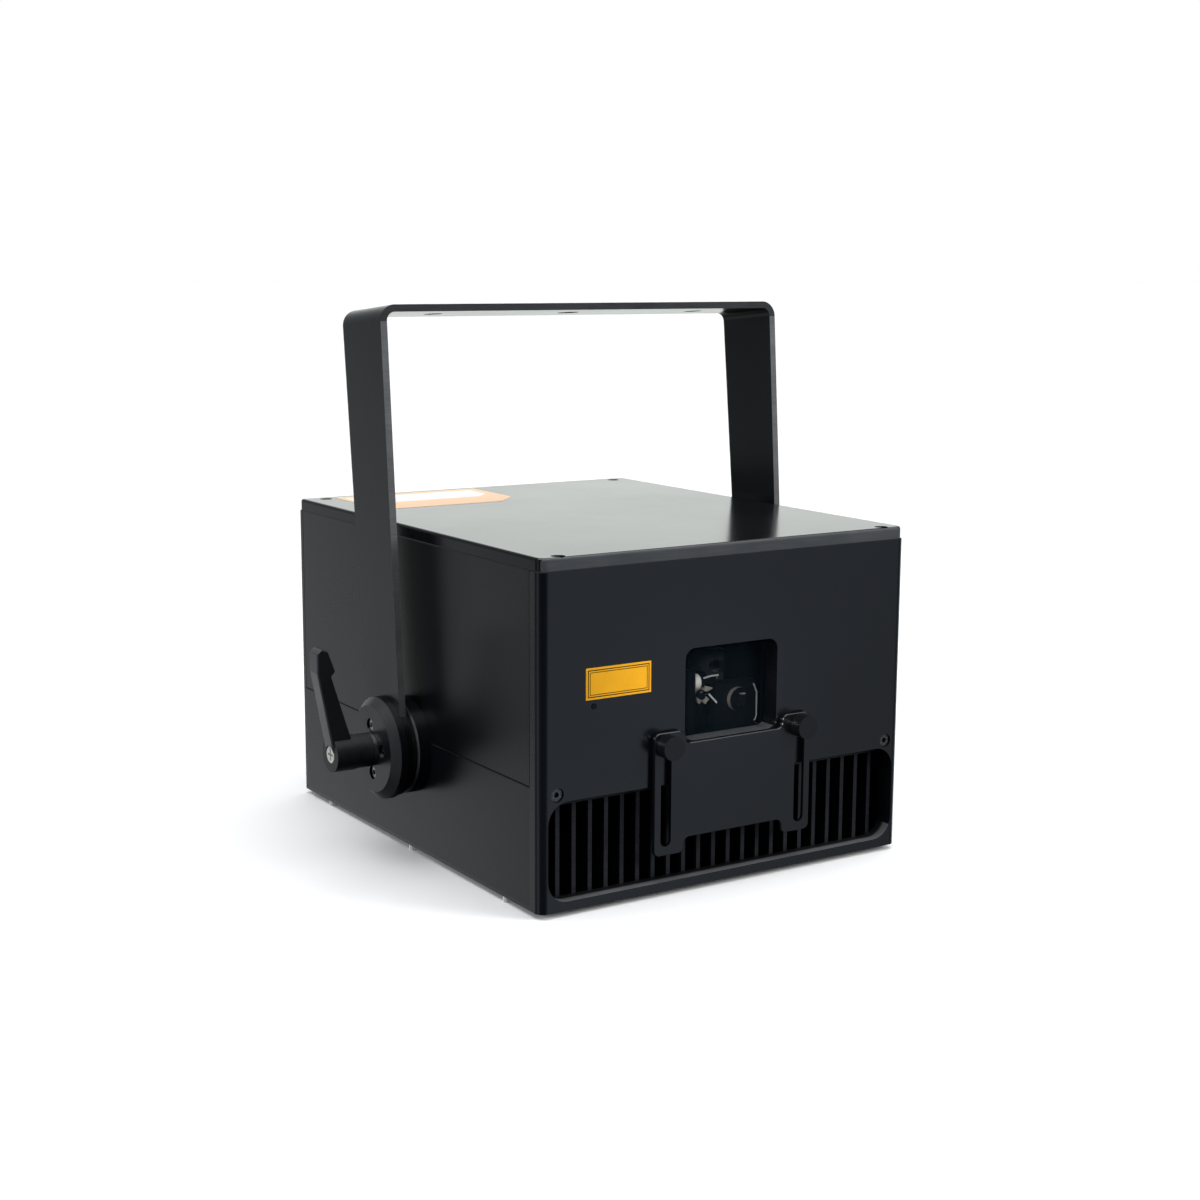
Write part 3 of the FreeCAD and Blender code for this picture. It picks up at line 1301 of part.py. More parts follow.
eye_centre = (eye_x, high_row)
panel_hole("eye", eye_centre, "eye_stem_radius")
eye_ring = doc.addObject("Part::Torus", "eye_ring")
bind(eye_ring, Radius1="eye_radius", Radius2="eye_wire")
eye_ring.Placement = FreeCAD.Placement(FreeCAD.Vector(), FreeCAD.Rotation(axis_z, axis_x))
place(eye_ring, eye_centre[0], f"{back} + eye_standoff", eye_centre[1])
ring_foot = f"{back} + eye_standoff - eye_radius"
eye_stem = rod("eye_stem", "Y", eye_centre, (f"{rear_inner} - eye_nut", ring_foot), "eye_stem_radius")
eye_flange = rod("eye_flange", "Y", eye_centre, (back, f"{back} + eye_wire"), "eye_flange_radius")
eye_nut = hexagon("eye_nut", "Y", eye_centre, (f"{rear_inner} - eye_nut", rear_inner), "eye_flange_radius")
finish("safety_eye", join("eye_join", [eye_ring, eye_stem, eye_flange, eye_nut]))

finish("rear_panel", cut("rear_cut", rear_blank, rear_tools))


# Every object has to be sound before anything is written

doc.recompute()
broken = [item.Label for item in doc.Objects if "Invalid" in item.State or "Error" in item.State]
for feature in nodes:
    if feature.Shape.isNull() or not feature.Shape.isValid() or not feature.Shape.Solids:
        broken.append(feature.Label)
if broken:
    raise RuntimeError(f"These objects failed: {broken}")

os.makedirs("parts", exist_ok=True)
for feature in nodes:
    feature.Shape.exportStep(f"parts/{feature.Label}.step")
whole = Part.makeCompound([feature.Shape for feature in nodes]).BoundBox
print(len(nodes), "pieces written")
print("X", whole.XMin, whole.XMax, "Y", whole.YMin, whole.YMax, "Z", whole.ZMin, whole.ZMax)
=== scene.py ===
import bmesh
import bpy
import math
from mathutils import Matrix, Vector


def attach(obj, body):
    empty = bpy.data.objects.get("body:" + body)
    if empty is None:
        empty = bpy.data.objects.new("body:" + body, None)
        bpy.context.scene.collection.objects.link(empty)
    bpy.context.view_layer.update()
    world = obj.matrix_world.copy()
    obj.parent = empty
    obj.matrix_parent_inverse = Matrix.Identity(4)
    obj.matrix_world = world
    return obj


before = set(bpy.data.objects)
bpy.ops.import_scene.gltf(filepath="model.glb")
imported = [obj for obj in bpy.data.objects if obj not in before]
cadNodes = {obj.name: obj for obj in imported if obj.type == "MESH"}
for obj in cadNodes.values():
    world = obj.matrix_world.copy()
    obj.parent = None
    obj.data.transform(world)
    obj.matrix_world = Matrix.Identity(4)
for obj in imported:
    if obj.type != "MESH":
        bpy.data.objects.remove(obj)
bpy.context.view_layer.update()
print("projector frame loaded:", len(cadNodes), "pieces")

# camera where the picture was taken from, angles in degrees
cameraSpot = {"place": (-0.604404, -0.960426, 0.332454), "azimuth": -32.7964,
              "elevation": 9.9291, "roll": -0.2887, "lens": 57.6234, "sensor": 36.0,
              "clipStart": 0.05}


def addCamera(spot):
    turn, lift, roll = (math.radians(spot[key]) for key in ("azimuth", "elevation", "roll"))
    flat = math.cos(lift)
    back = Vector((math.sin(turn) * flat, -math.cos(turn) * flat, math.sin(lift)))
    right = Vector((math.cos(turn), math.sin(turn), 0))
    up = back.cross(right)
    tiltedRight = math.cos(roll) * right - math.sin(roll) * up
    tiltedUp = math.sin(roll) * right + math.cos(roll) * up
    bpy.ops.object.camera_add()
    camera = bpy.context.object
    camera.name = "photoCamera"
    camera.matrix_world = Matrix((tiltedRight, tiltedUp, back)).transposed().to_4x4()
    camera.location = spot["place"]
    camera.data.lens = spot["lens"]
    camera.data.sensor_width = spot["sensor"]
    camera.data.clip_start = spot["clipStart"]
    bpy.context.scene.camera = camera


addCamera(cameraSpot)


# node helpers for the studio and the finishes
def addRamp(tree, value, stops):
    ramp = tree.nodes.new("ShaderNodeValToRGB")
    band = ramp.color_ramp
    while len(band.elements) < len(stops):
        band.elements.new(0.5)
    for element, (place, colour) in zip(band.elements, stops):
        element.position = place
        element.color = (*colour, 1)
    tree.links.new(value, ramp.inputs["Fac"])
    return ramp.outputs["Color"]


def addRange(tree, value, low, high, fromLow=0.3, fromHigh=0.7):
    node = tree.nodes.new("ShaderNodeMapRange")
    node.inputs["From Min"].default_value = fromLow
    node.inputs["From Max"].default_value = fromHigh
    node.inputs["To Min"].default_value = low
    node.inputs["To Max"].default_value = high
    tree.links.new(value, node.inputs["Value"])
    return node.outputs["Result"]


def addVector(tree, operation, first):
    node = tree.nodes.new("ShaderNodeVectorMath")
    node.operation = operation
    tree.links.new(first, node.inputs[0])
    return node


def splitAxes(tree, coords):
    axes = tree.nodes.new("ShaderNodeSeparateXYZ")
    tree.links.new(coords, axes.inputs["Vector"])
    return axes.outputs


# studio: white sweep behind the projector, dim on the camera's side so that black faces stay black
studio = {
    "floorHalf": 30.0, "floorColour": (0.93, 0.93, 0.93), "floorRough": 0.7,
    "sweepAim": (0.5, 0.78, -0.35), "sweepBright": 2.25,
    "sweep": [(0.06, (0.01, 0.013, 0.018)), (0.20, (0.03, 0.034, 0.04)),
              (0.34, (0.27, 0.302, 0.352)), (0.43, (0.15, 0.162, 0.175)),
              (0.51, (0.04, 0.044, 0.05)), (0.62, (0.05, 0.055, 0.06)),
              (0.67, (0.10, 0.109, 0.119)), (0.72, (0.125, 0.136, 0.146)),
              (0.745, (0.18, 0.193, 0.203)), (0.78, (0.215, 0.228, 0.235)),
              (0.89, (0.70, 0.73, 0.715)), (0.935, (0.86, 0.90, 0.87))],
    # share of that light by height: dim far below, a pale table edge, then up to the lens
    "rise": [(0.22, 0.08), (0.29, 0.4), (0.32, 0.85), (0.35, 1.0), (0.37, 0.67), (0.39, 0.64),
             (0.42, 0.76), (0.45, 0.66), (0.50, 0.52), (0.54, 0.62), (0.57, 0.667)],
    "ceiling": {"place": (0, 0, 2), "power": 3.0, "angle": 80},
    "boxes": {
        "frontBox": {"place": (0.80, -1.25, 0.62), "aim": (0, -0.1, 0.12), "size": 0.8, "power": 5},
        "keyBox": {"place": (1.5, -1.7, 1.0), "aim": (0, 0, 0.12), "size": 0.9, "power": 30},
        "fillBox": {"place": (-1.9, -0.35, 0.6), "aim": (0, -0.1, 0.1), "size": 0.7, "power": 20}},
    "snoot": {"place": (-0.75, -1.05, 0.42), "aim": (0.014, -0.13, 0.1), "cone": 5, "power": 45,
              "blend": 0.6, "softness": 0.03},
}


def aimLamp(kind, name, look):
    bpy.ops.object.light_add(type=kind, location=look["place"])
    lamp = bpy.context.object
    lamp.name = name
    direction = Vector(look["aim"]) - Vector(look["place"])
    lamp.rotation_euler = direction.to_track_quat("-Z", "Y").to_euler()
    lamp.data.energy = look["power"]
    return lamp


def addSoftBox(name, look):
    lamp = aimLamp("AREA", name, look)
    lamp.data.size = look["size"]
    lamp.visible_glossy = False  # no white patches on the lid from behind


def addSnoot(look):  # narrow light through the window onto the scanner
    lamp = aimLamp("SPOT", "snootLamp", look)
    lamp.data.spot_size = math.radians(look["cone"])
    lamp.data.spot_blend = look["blend"]
    lamp.data.shadow_soft_size = look["softness"]


def addCeiling(look):
    bpy.ops.object.light_add(type="SUN", location=look["place"])
    lamp = bpy.context.object
    lamp.name = "ceilingLight"
    lamp.data.energy = look["power"]
    lamp.data.angle = math.radians(look["angle"])


def addWorld(look):
    world = bpy.data.worlds.new("studioWorld")
    bpy.context.scene.world = world
    world.use_nodes = True
    tree = world.node_tree
    outward = tree.nodes.new("ShaderNodeTexCoord").outputs["Generated"]
    aim = addVector(tree, "DOT_PRODUCT", outward)
    aim.inputs[1].default_value = look["sweepAim"]
    fade = addRamp(tree, addRange(tree, aim.outputs["Value"], 0, 1, -1, 1), look["sweep"])
    levels = [(place, (level,) * 3) for place, level in look["rise"]]
    rise = addRamp(tree, addRange(tree, splitAxes(tree, outward)["Z"], 0, 1, -1, 1), levels)
    lit = addVector(tree, "MULTIPLY", fade)
    tree.links.new(rise, lit.inputs[1])
    sweep = tree.nodes["Background"]
    sweep.inputs["Strength"].default_value = look["sweepBright"]
    tree.links.new(lit.outputs["Vector"], sweep.inputs["Color"])
    plain = tree.nodes.new("ShaderNodeBackground")
    plain.inputs["Color"].default_value = (1, 1, 1, 1)
    path = tree.nodes.new("ShaderNodeLightPath")
    shown = tree.nodes.new("ShaderNodeMixShader")
    tree.links.new(path.outputs["Is Camera Ray"], shown.inputs["Fac"])
    tree.links.new(sweep.outputs["Background"], shown.inputs[1])
    tree.links.new(plain.outputs["Background"], shown.inputs[2])
    tree.links.new(shown.outputs["Shader"], tree.nodes["World Output"].inputs["Surface"])


addWorld(studio)
for boxName, boxLook in studio["boxes"].items():
    addSoftBox(boxName, boxLook)
addSnoot(studio["snoot"])
addCeiling(studio["ceiling"])
bpy.context.scene.view_settings.view_transform = "Standard"
print("camera and studio ready")


# materials
def startMaterial(name):
    material = bpy.data.materials.new(name)
    material.use_nodes = True
    return material, material.node_tree, material.node_tree.nodes["Principled BSDF"]


def addNoise(tree, coords, scale, detail, stretch=(1, 1, 1)):
    mapping = tree.nodes.new("ShaderNodeMapping")
    mapping.inputs["Scale"].default_value = stretch
    tree.links.new(coords, mapping.inputs["Vector"])
    noise = tree.nodes.new("ShaderNodeTexNoise")
    noise.inputs["Scale"].default_value = scale
    noise.inputs["Detail"].default_value = detail
    tree.links.new(mapping.outputs["Vector"], noise.inputs["Vector"])
    return noise.outputs["Fac"]


def addMath(tree, operation, first, second):
    node = tree.nodes.new("ShaderNodeMath")
    node.operation = operation
    for socket, value in zip(node.inputs, (first, second)):
        if isinstance(value, (int, float)):
            socket.default_value = value
        else:
            tree.links.new(value, socket)
    return node.outputs["Value"]


def addBump(tree, shader, height, strength, distance):
    bump = tree.nodes.new("ShaderNodeBump")
    bump.inputs["Strength"].default_value = strength
    bump.inputs["Distance"].default_value = distance
    tree.links.new(height, bump.inputs["Height"])
    tree.links.new(bump.outputs["Normal"], shader.inputs["Normal"])


# coarse blotches and fine grain, mixed half and half, make the colour and the roughness
noiseMix = {"blotchDetail": 3.0, "grainDetail": 4.0, "share": 0.5, "darkAt": 0.35, "lightAt": 0.65,
            "paintedShadeShare": 0.05}


# painted shade: colour that darkens with depth behind the front
def addPaintedDepthShade(tree, coords, colour, span):
    share = addRange(tree, splitAxes(tree, coords)["Y"], 1, noiseMix["paintedShadeShare"], *span)
    scaled = addVector(tree, "SCALE", colour)
    tree.links.new(share, scaled.inputs["Scale"])
    return scaled.outputs["Vector"]


def makeSkin(name, look):
    material, tree, shader = startMaterial(name)
    coords = tree.nodes.new("ShaderNodeTexCoord").outputs["Object"]
    blotch = addNoise(tree, coords, look["blotch"], noiseMix["blotchDetail"])
    grain = addNoise(tree, coords, look["grain"], noiseMix["grainDetail"],
                     look.get("stretch", (1, 1, 1)))
    halves = [addMath(tree, "MULTIPLY", noise, noiseMix["share"]) for noise in (blotch, grain)]
    mixed = addMath(tree, "ADD", *halves)
    colour = addRamp(tree, mixed, [(noiseMix["darkAt"], look["dark"]),
                                   (noiseMix["lightAt"], look["light"])])
    # painted shade: the colour darkens towards the back when the skin asks for it
    if "fade" in look:
        colour = addPaintedDepthShade(tree, coords, colour, look["fade"])
    tree.links.new(colour, shader.inputs["Base Color"])
    tree.links.new(addRange(tree, mixed, *look["rough"]), shader.inputs["Roughness"])
    addBump(tree, shader, grain, look["bump"], look["depth"])
    shader.inputs["Metallic"].default_value = look.get("metal", 0.0)
    shader.inputs["Specular IOR Level"].default_value = look.get("shine", 0.5)
    shader.inputs["Coat Weight"].default_value = look.get("coat", 0.0)
    shader.inputs["Coat Roughness"].default_value = look.get("coatRough", 0.1)
    return material


# finishes, a few with painted light or shade: colours from dark to light, noise scales per metre,
# bump depth and the span of the painted shade fade in metres
skins = {
    "brushedAcross": {
        "dark": (0.0023, 0.0029, 0.0041), "light": (0.0047, 0.0056, 0.0073),
        "blotch": 14, "grain": 1500, "stretch": (0.03, 1, 1),
        "rough": (0.19, 0.27), "bump": 0.1, "depth": 0.0002, "shine": 0.65},
    "lidBlack": {
        "dark": (0.0014, 0.0019, 0.0028), "light": (0.0028, 0.0035, 0.0047),
        "blotch": 14, "grain": 1500, "stretch": (0.03, 1, 1),
        "rough": (0.15, 0.2), "bump": 0.06, "depth": 0.0002},
    "brushedAlong": {
        "dark": (0.0021, 0.0026, 0.0036), "light": (0.0027, 0.0034, 0.0046),
        "blotch": 14, "grain": 1500, "stretch": (1, 0.03, 1),
        "rough": (0.27, 0.29), "bump": 0.006, "depth": 0.0001},
    # painted highlight on the lid's front-facing edges
    "lidEdgePaintedHighlight": {
        "dark": (0.05, 0.053, 0.058), "light": (0.074, 0.077, 0.083),
        "blotch": 40, "grain": 1600, "stretch": (0.03, 1, 1),
        "rough": (0.28, 0.36), "bump": 0.05, "depth": 0.0001},
    # lighter front and back faces of the yoke bar: partly rough cut finish, partly painted
    # highlight
    "barCutEdgeAndHighlight": {
        "dark": (0.021, 0.022, 0.024), "light": (0.039, 0.0405, 0.0435),
        "blotch": 50, "grain": 1500, "stretch": (0.05, 1, 1),
        "rough": (0.38, 0.5), "bump": 0.2, "depth": 0.0002},
    # lighter milled grey, laid on upward faces only: partly milled metal, partly painted light
    "milledGreyAndPaintedLight": {
        "dark": (0.045, 0.047, 0.051), "light": (0.07, 0.073, 0.078),
        "blotch": 60, "grain": 1800, "stretch": (0.05, 1, 1),
        "rough": (0.38, 0.5), "bump": 0.12, "depth": 0.0002},
    "sinkBlack": {
        "dark": (0.0022, 0.0026, 0.0038), "light": (0.005, 0.0056, 0.007),
        "blotch": 30, "grain": 700, "stretch": (0.05, 0.05, 1),
        "rough": (0.4, 0.55), "bump": 0.5, "depth": 0.0006, "shine": 0.35},
    # painted light on the grille sill's front lip; its fade is painted shade deeper in
    "sillPaintedLightAndShade": {
        "dark": (0.088, 0.092, 0.098), "light": (0.136, 0.141, 0.149),
        "blotch": 60, "grain": 1800, "stretch": (0.05, 1, 1),
        "rough": (0.38, 0.5), "bump": 0.12, "depth": 0.0002, "fade": (-0.1492, -0.1472)},
    "finFront": {
        "dark": (0.0098, 0.011, 0.0132), "light": (0.0226, 0.0247, 0.028),
        "blotch": 40, "grain": 900, "stretch": (0.1, 1, 1),
        "rough": (0.42, 0.55), "bump": 0.3, "depth": 0.0003, "shine": 0.4},
    "yokeBlack": {
        "dark": (0.0026, 0.0033, 0.0045), "light": (0.0042, 0.005, 0.0064),
        "blotch": 16, "grain": 1400, "stretch": (1, 1, 0.1),
        "rough": (0.22, 0.27), "bump": 0.05, "depth": 0.0002},
    # lighter cut edges of the yoke arms: partly rough cut finish, partly painted highlight
    "yokeCutEdgeAndHighlight": {
        "dark": (0.078, 0.079, 0.081), "light": (0.15, 0.151, 0.153),
        "blotch": 50, "grain": 1300, "stretch": (0.03, 0.03, 1),
        "rough": (0.4, 0.55), "bump": 0.5, "depth": 0.0003, "shine": 1.0},
    "turnedBlack": {
        "dark": (0.0036, 0.0042, 0.0054), "light": (0.0062, 0.0069, 0.0084),
        "blotch": 40, "grain": 1600,
        "rough": (0.26, 0.32), "bump": 0.03, "depth": 0.0001},
    # painted highlight on the chamfers of the clamp discs
    "discEdgePaintedHighlight": {
        "dark": (0.018, 0.0192, 0.0215), "light": (0.027, 0.0285, 0.0315),
        "blotch": 50, "grain": 1600,
        "rough": (0.36, 0.46), "bump": 0.05, "depth": 0.0001},
    # painted glint on the chamfers of the side bosses
    "bossEdgePaintedGlint": {
        "dark": (0.06, 0.062, 0.066), "light": (0.1, 0.102, 0.107),
        "blotch": 50, "grain": 1600,
        "rough": (0.26, 0.36), "bump": 0.05, "depth": 0.0001, "shine": 0.6},
    # black of the inner parts, also used as painted shade on the panels' upper rims and top faces
    # and in the screw seats
    "innerBlackAndPaintedShade": {
        "dark": (0.0016, 0.0021, 0.003), "light": (0.0035, 0.0042, 0.0054),
        "blotch": 50, "grain": 1700,
        "rough": (0.5, 0.65), "bump": 0.2, "depth": 0.0002, "shine": 0.25},
    "leverBlack": {
        "dark": (0.01, 0.011, 0.0128), "light": (0.017, 0.0182, 0.0205),
        "blotch": 60, "grain": 2300,
        "rough": (0.44, 0.54), "bump": 0.2, "depth": 0.0003, "shine": 0.45},
    # painted light on the outer faces of the levers
    "leverOuterPaintedLight": {
        "dark": (0.026, 0.0275, 0.031), "light": (0.04, 0.042, 0.047),
        "blotch": 60, "grain": 2300,
        "rough": (0.34, 0.44), "bump": 0.15, "depth": 0.0003, "shine": 0.6},
    "screwHead": {
        "dark": (0.012, 0.013, 0.015), "light": (0.026, 0.0275, 0.03),
        "blotch": 160, "grain": 2600,
        "rough": (0.2, 0.3), "bump": 0.1, "depth": 0.0002, "shine": 0.9},
    "mountBlack": {
        "dark": (0.0004, 0.0006, 0.001), "light": (0.001, 0.0013, 0.0019),
        "blotch": 50, "grain": 1700,
        "rough": (0.6, 0.75), "bump": 0.2, "depth": 0.0002, "shine": 0.1},
    "fibreBlack": {
        "dark": (0.006, 0.006, 0.0065), "light": (0.012, 0.012, 0.0125),
        "blotch": 90, "grain": 2500,
        "rough": (0.7, 0.9), "bump": 0.4, "depth": 0.0003, "shine": 0.3},
    "oxideBlack": {
        "dark": (0.006, 0.0065, 0.0075), "light": (0.015, 0.016, 0.0175),
        "blotch": 120, "grain": 2600,
        "rough": (0.24, 0.36), "bump": 0.12, "depth": 0.0002, "shine": 0.7},
    "zincBright": {
        "dark": (0.6, 0.585, 0.54), "light": (0.78, 0.765, 0.71),
        "blotch": 180, "grain": 2600,
        "rough": (0.22, 0.36), "bump": 0.1, "depth": 0.0002, "metal": 0.5},
    # dull steel of the lever inserts; also a painted glint in the front screws' hex sockets
    "dullSteelAndPaintedGlint": {
        "dark": (0.16, 0.16, 0.155), "light": (0.25, 0.25, 0.24),
        "blotch": 150, "grain": 2400,
        "rough": (0.3, 0.42), "bump": 0.1, "depth": 0.0002, "metal": 0.9},
    # silver of the mirrors' ground edges; also the painted glint and highlight strip of the
    # steering trim
    "edgeSilverAndPaintedGlint": {
        "dark": (0.5, 0.5, 0.49), "light": (0.64, 0.64, 0.62),
        "blotch": 120, "grain": 1900,
        "rough": (0.3, 0.42), "bump": 0.1, "depth": 0.0002, "metal": 0.2},
    "nickelBright": {
        "dark": (0.5, 0.5, 0.49), "light": (0.66, 0.65, 0.63),
        "blotch": 150, "grain": 2400,
        "rough": (0.16, 0.28), "bump": 0.06, "depth": 0.0002, "metal": 1.0},
    "turnedSilver": {
        "dark": (0.8, 0.78, 0.73), "light": (0.92, 0.9, 0.85),
        "blotch": 120, "grain": 1500, "stretch": (1, 0.1, 1),
        "rough": (0.3, 0.42), "bump": 0.1, "depth": 0.0002, "metal": 0.25},
    "castBeige": {
        "dark": (0.34, 0.31, 0.27), "light": (0.52, 0.48, 0.42),
        "blotch": 300, "grain": 2200,
        "rough": (0.4, 0.55), "bump": 0.3, "depth": 0.0002, "metal": 0.3},
    "gunGrey": {
        "dark": (0.006, 0.0068, 0.008), "light": (0.013, 0.014, 0.0155),
        "blotch": 60, "grain": 2200,
        "rough": (0.4, 0.55), "bump": 0.25, "depth": 0.0002, "shine": 0.4},
    "mirrorBright": {
        "dark": (0.84, 0.86, 0.87), "light": (0.9, 0.91, 0.92),
        "blotch": 200, "grain": 3000,
        "rough": (0.02, 0.06), "bump": 0.01, "depth": 0.0001, "metal": 1.0},
    "mouldedBlack": {
        "dark": (0.006, 0.0062, 0.0068), "light": (0.012, 0.0122, 0.013),
        "blotch": 70, "grain": 2600,
        "rough": (0.4, 0.54), "bump": 0.3, "depth": 0.0003, "shine": 0.45},
    "solderGreen": {
        "dark": (0.008, 0.06, 0.025), "light": (0.02, 0.12, 0.05),
        "blotch": 260, "grain": 900,
        "rough": (0.25, 0.4), "bump": 0.25, "depth": 0.0003, "coat": 0.4},
    "displayDark": {
        "dark": (0.004, 0.006, 0.012), "light": (0.008, 0.011, 0.02),
        "blotch": 60, "grain": 2600,
        "rough": (0.05, 0.12), "bump": 0.02, "depth": 0.0001, "coat": 0.6, "coatRough": 0.03},
    "contactGold": {
        "dark": (0.72, 0.5, 0.16), "light": (0.86, 0.62, 0.24),
        "blotch": 300, "grain": 2800,
        "rough": (0.18, 0.3), "bump": 0.05, "depth": 0.0001, "metal": 1.0},
    "lampDark": {
        "dark": (0.002, 0.004, 0.0035), "light": (0.005, 0.009, 0.008),
        "blotch": 400, "grain": 3000,
        "rough": (0.12, 0.2), "bump": 0.02, "depth": 0.0001, "shine": 0.15},
    "labelAmber": {
        "dark": (0.84, 0.395, 0.013), "light": (0.92, 0.445, 0.018),
        "blotch": 90, "grain": 1800,
        "rough": (0.35, 0.5), "bump": 0.08, "depth": 0.0002, "shine": 0.3},
    "labelInk": {
        "dark": (0.03, 0.018, 0.004), "light": (0.05, 0.03, 0.008),
        "blotch": 200, "grain": 2600,
        "rough": (0.4, 0.55), "bump": 0.1, "depth": 0.0001, "shine": 0.3},
    "paperPeach": {
        "dark": (0.76, 0.46, 0.25), "light": (0.84, 0.53, 0.3),
        "blotch": 80, "grain": 1900,
        "rough": (0.3, 0.42), "bump": 0.08, "depth": 0.0002, "shine": 0.4},
    "paperWhite": {
        "dark": (0.68, 0.68, 0.68), "light": (0.78, 0.78, 0.78),
        "blotch": 80, "grain": 1900,
        "rough": (0.3, 0.42), "bump": 0.08, "depth": 0.0002, "shine": 0.4},
}
skin = {name: makeSkin(name, look) for name, look in skins.items()}

# thin coated glass with little glare
windowGlass = {"dust": 900, "detail": 3.0, "rough": (0.02, 0.06), "alpha": 0.16, "shine": 0.12,
               "tint": [(0.3, (0.004, 0.010, 0.015)), (0.7, (0.008, 0.016, 0.022))]}


def makeGlass(look):
    material, tree, shader = startMaterial("windowClear")
    coords = tree.nodes.new("ShaderNodeTexCoord").outputs["Object"]
    dust = addNoise(tree, coords, look["dust"], look["detail"])
    tree.links.new(addRange(tree, dust, *look["rough"]), shader.inputs["Roughness"])
    tree.links.new(addRamp(tree, dust, look["tint"]), shader.inputs["Base Color"])
    shader.inputs["Alpha"].default_value = look["alpha"]
    shader.inputs["Specular IOR Level"].default_value = look["shine"]
    return material


skin["windowClear"] = makeGlass(windowGlass)

nodeSkins = {
    "brushedAcross": ("front_panel", "rear_panel", "mask_plate", "window_frame", "bottom_plate"),
    "lidBlack": ("lid",),
    "brushedAlong": ("base_rail_left", "base_rail_right", "side_panel_left", "side_panel_right"),
    "sinkBlack": ("heat_sink", "heat_sink_fins"),
    "yokeBlack": ("yoke",),
    "turnedBlack": ("clamp_discs", "side_bosses", "thumb_screw_left", "thumb_screw_right",
                    "menu_knob"),
    "mountBlack": ("galvo_mount", "laser_module_blue", "laser_module_red", "laser_module_green"),
    "innerBlackAndPaintedShade": ("mirror_holders", "galvo_motor_upper", "galvo_motor_lower", "steering_mount",
                   "corner_blocks"),
    "leverBlack": ("clamp_lever_left", "clamp_lever_right"),
    "fibreBlack": ("friction_washers",),
    "oxideBlack": ("lid_screws", "front_screws", "rear_screws"),
    "zincBright": ("base_screws", "lever_screw_left", "lever_screw_right"),
    "nickelBright": ("pivot_studs", "clamp_disc_screws", "key", "key_switch", "safety_eye"),
    "dullSteelAndPaintedGlint": ("lever_insert_left", "lever_insert_right"),
    "gunGrey": ("power_supply",),
    "mirrorBright": ("galvo_mirror_upper", "galvo_mirror_lower", "beam_mirrors"),
    "mouldedBlack": ("fan_frames", "fan_rotor_left", "fan_rotor_right", "power_inlet",
                     "control_sockets", "network_socket", "signal_socket"),
    "solderGreen": ("control_board", "galvo_driver_board"),
    "displayDark": ("display_module",),
    "lampDark": ("emission_lamp",),
    "labelAmber": ("front_label",),
    "windowClear": ("window_glass",),
}
for skinName, nodeNames in nodeSkins.items():
    for nodeName in nodeNames:
        mesh = cadNodes[nodeName].data
        mesh.materials.clear()
        mesh.materials.append(skin[skinName])
print("materials on", sum(len(names) for names in nodeSkins.values()), "pieces")

# places on the solids that the second finishes and the painted light and shade go by, in
# millimetres
dress = {"pivot": (-8.25, 63), "discRim": 23, "bossRim": 25,
         "openings": 116, "grilleSill": (6, 40), "windowSill": (40, 100), "topRim": 175,
         "frontScrew": {"x": 109.5, "z": 65.5, "seat": 4.3, "socket": 2.2, "face": -148.5},
         "lidScrew": {"x": 108, "y": (-148.25, 122.75), "seat": 4.2},
         "armEdge": (90, 300), "leverFoot": 71,
         "upperScan": {"nose": -13.35, "mirror": -2.05},
         "lowerScan": {"nose": -113.4, "mirror": -124.8, "tip": -134.2},
         "steeringFace": -123.3, "signalShell": 136.7,
         "inlet": {"x": -82, "z": 100.27, "across": 8.2, "up": 4.2, "y": (120.0, 131.0)},
         "control": {"x": (41, 72), "z": 100.27, "across": 6.3, "up": (-6.3, 1.3),
                     "y": (119.9, 129.0)}}
# share of a face's normal along an axis
tilt = {"facing": 0.9, "flat": 0.8, "front": 0.7, "side": 0.5, "corner": 0.35, "rim": 0.3,
        "chamfer": (0.4, 0.95), "countersink": (0.1, 0.95)}


def within(value, span):
    return span[0] < value < span[1]


# second skin on some faces of a piece, picked by place and normal: used for second finishes and for
# painted light and shade
def dressFaces(nodeName, skinName, test):
    mesh = cadNodes[nodeName].data
    mesh.materials.append(skin[skinName])
    last = len(mesh.materials) - 1
    for face in mesh.polygons:
        if test(face.center * 1000, face.normal):
            face.material_index = last


def onSill(spot, span):
    return abs(spot.x) < dress["openings"] and within(spot.z, span)


def onChamfer(spot, way, rim):
    fromPivot = math.hypot(spot.y - dress["pivot"][0], spot.z - dress["pivot"][1])
    return within(abs(way.x), tilt["chamfer"]) and fromPivot > rim


def fromFrontScrew(spot):
    return abs(spot.x) - dress["frontScrew"]["x"], spot.z - dress["frontScrew"]["z"]


def inFrontSeat(spot):
    return max(abs(value) for value in fromFrontScrew(spot)) < dress["frontScrew"]["seat"]


def inFrontSocket(spot):
    seat = dress["frontScrew"]
    return spot.y < seat["face"] and math.hypot(*fromFrontScrew(spot)) < seat["socket"]


def inLidSeat(spot):
    seat = dress["lidScrew"]
    nearest = min(abs(spot.y - y) for y in seat["y"])
    return max(abs(abs(spot.x) - seat["x"]), nearest) < seat["seat"]


def onInletPin(spot):
    inlet = dress["inlet"]
    return (abs(spot.x - inlet["x"]) < inlet["across"] and abs(spot.z - inlet["z"]) < inlet["up"]
            and within(spot.y, inlet["y"]))


def onControlPin(spot):
    control = dress["control"]
    nearest = min(abs(spot.x - x) for x in control["x"])
    return (nearest < control["across"] and within(spot.z - control["z"], control["up"])
            and within(spot.y, control["y"]))


# lighter milled grey on the window sill's upward faces, partly milled metal and partly painted
# light; painted light on the grille sill's front lip with painted shade behind; painted shade in
# the screw seats and on the upper rims
dressFaces("front_panel", "milledGreyAndPaintedLight", lambda spot, way: way.z > tilt["flat"] and
           onSill(spot, dress["windowSill"]))
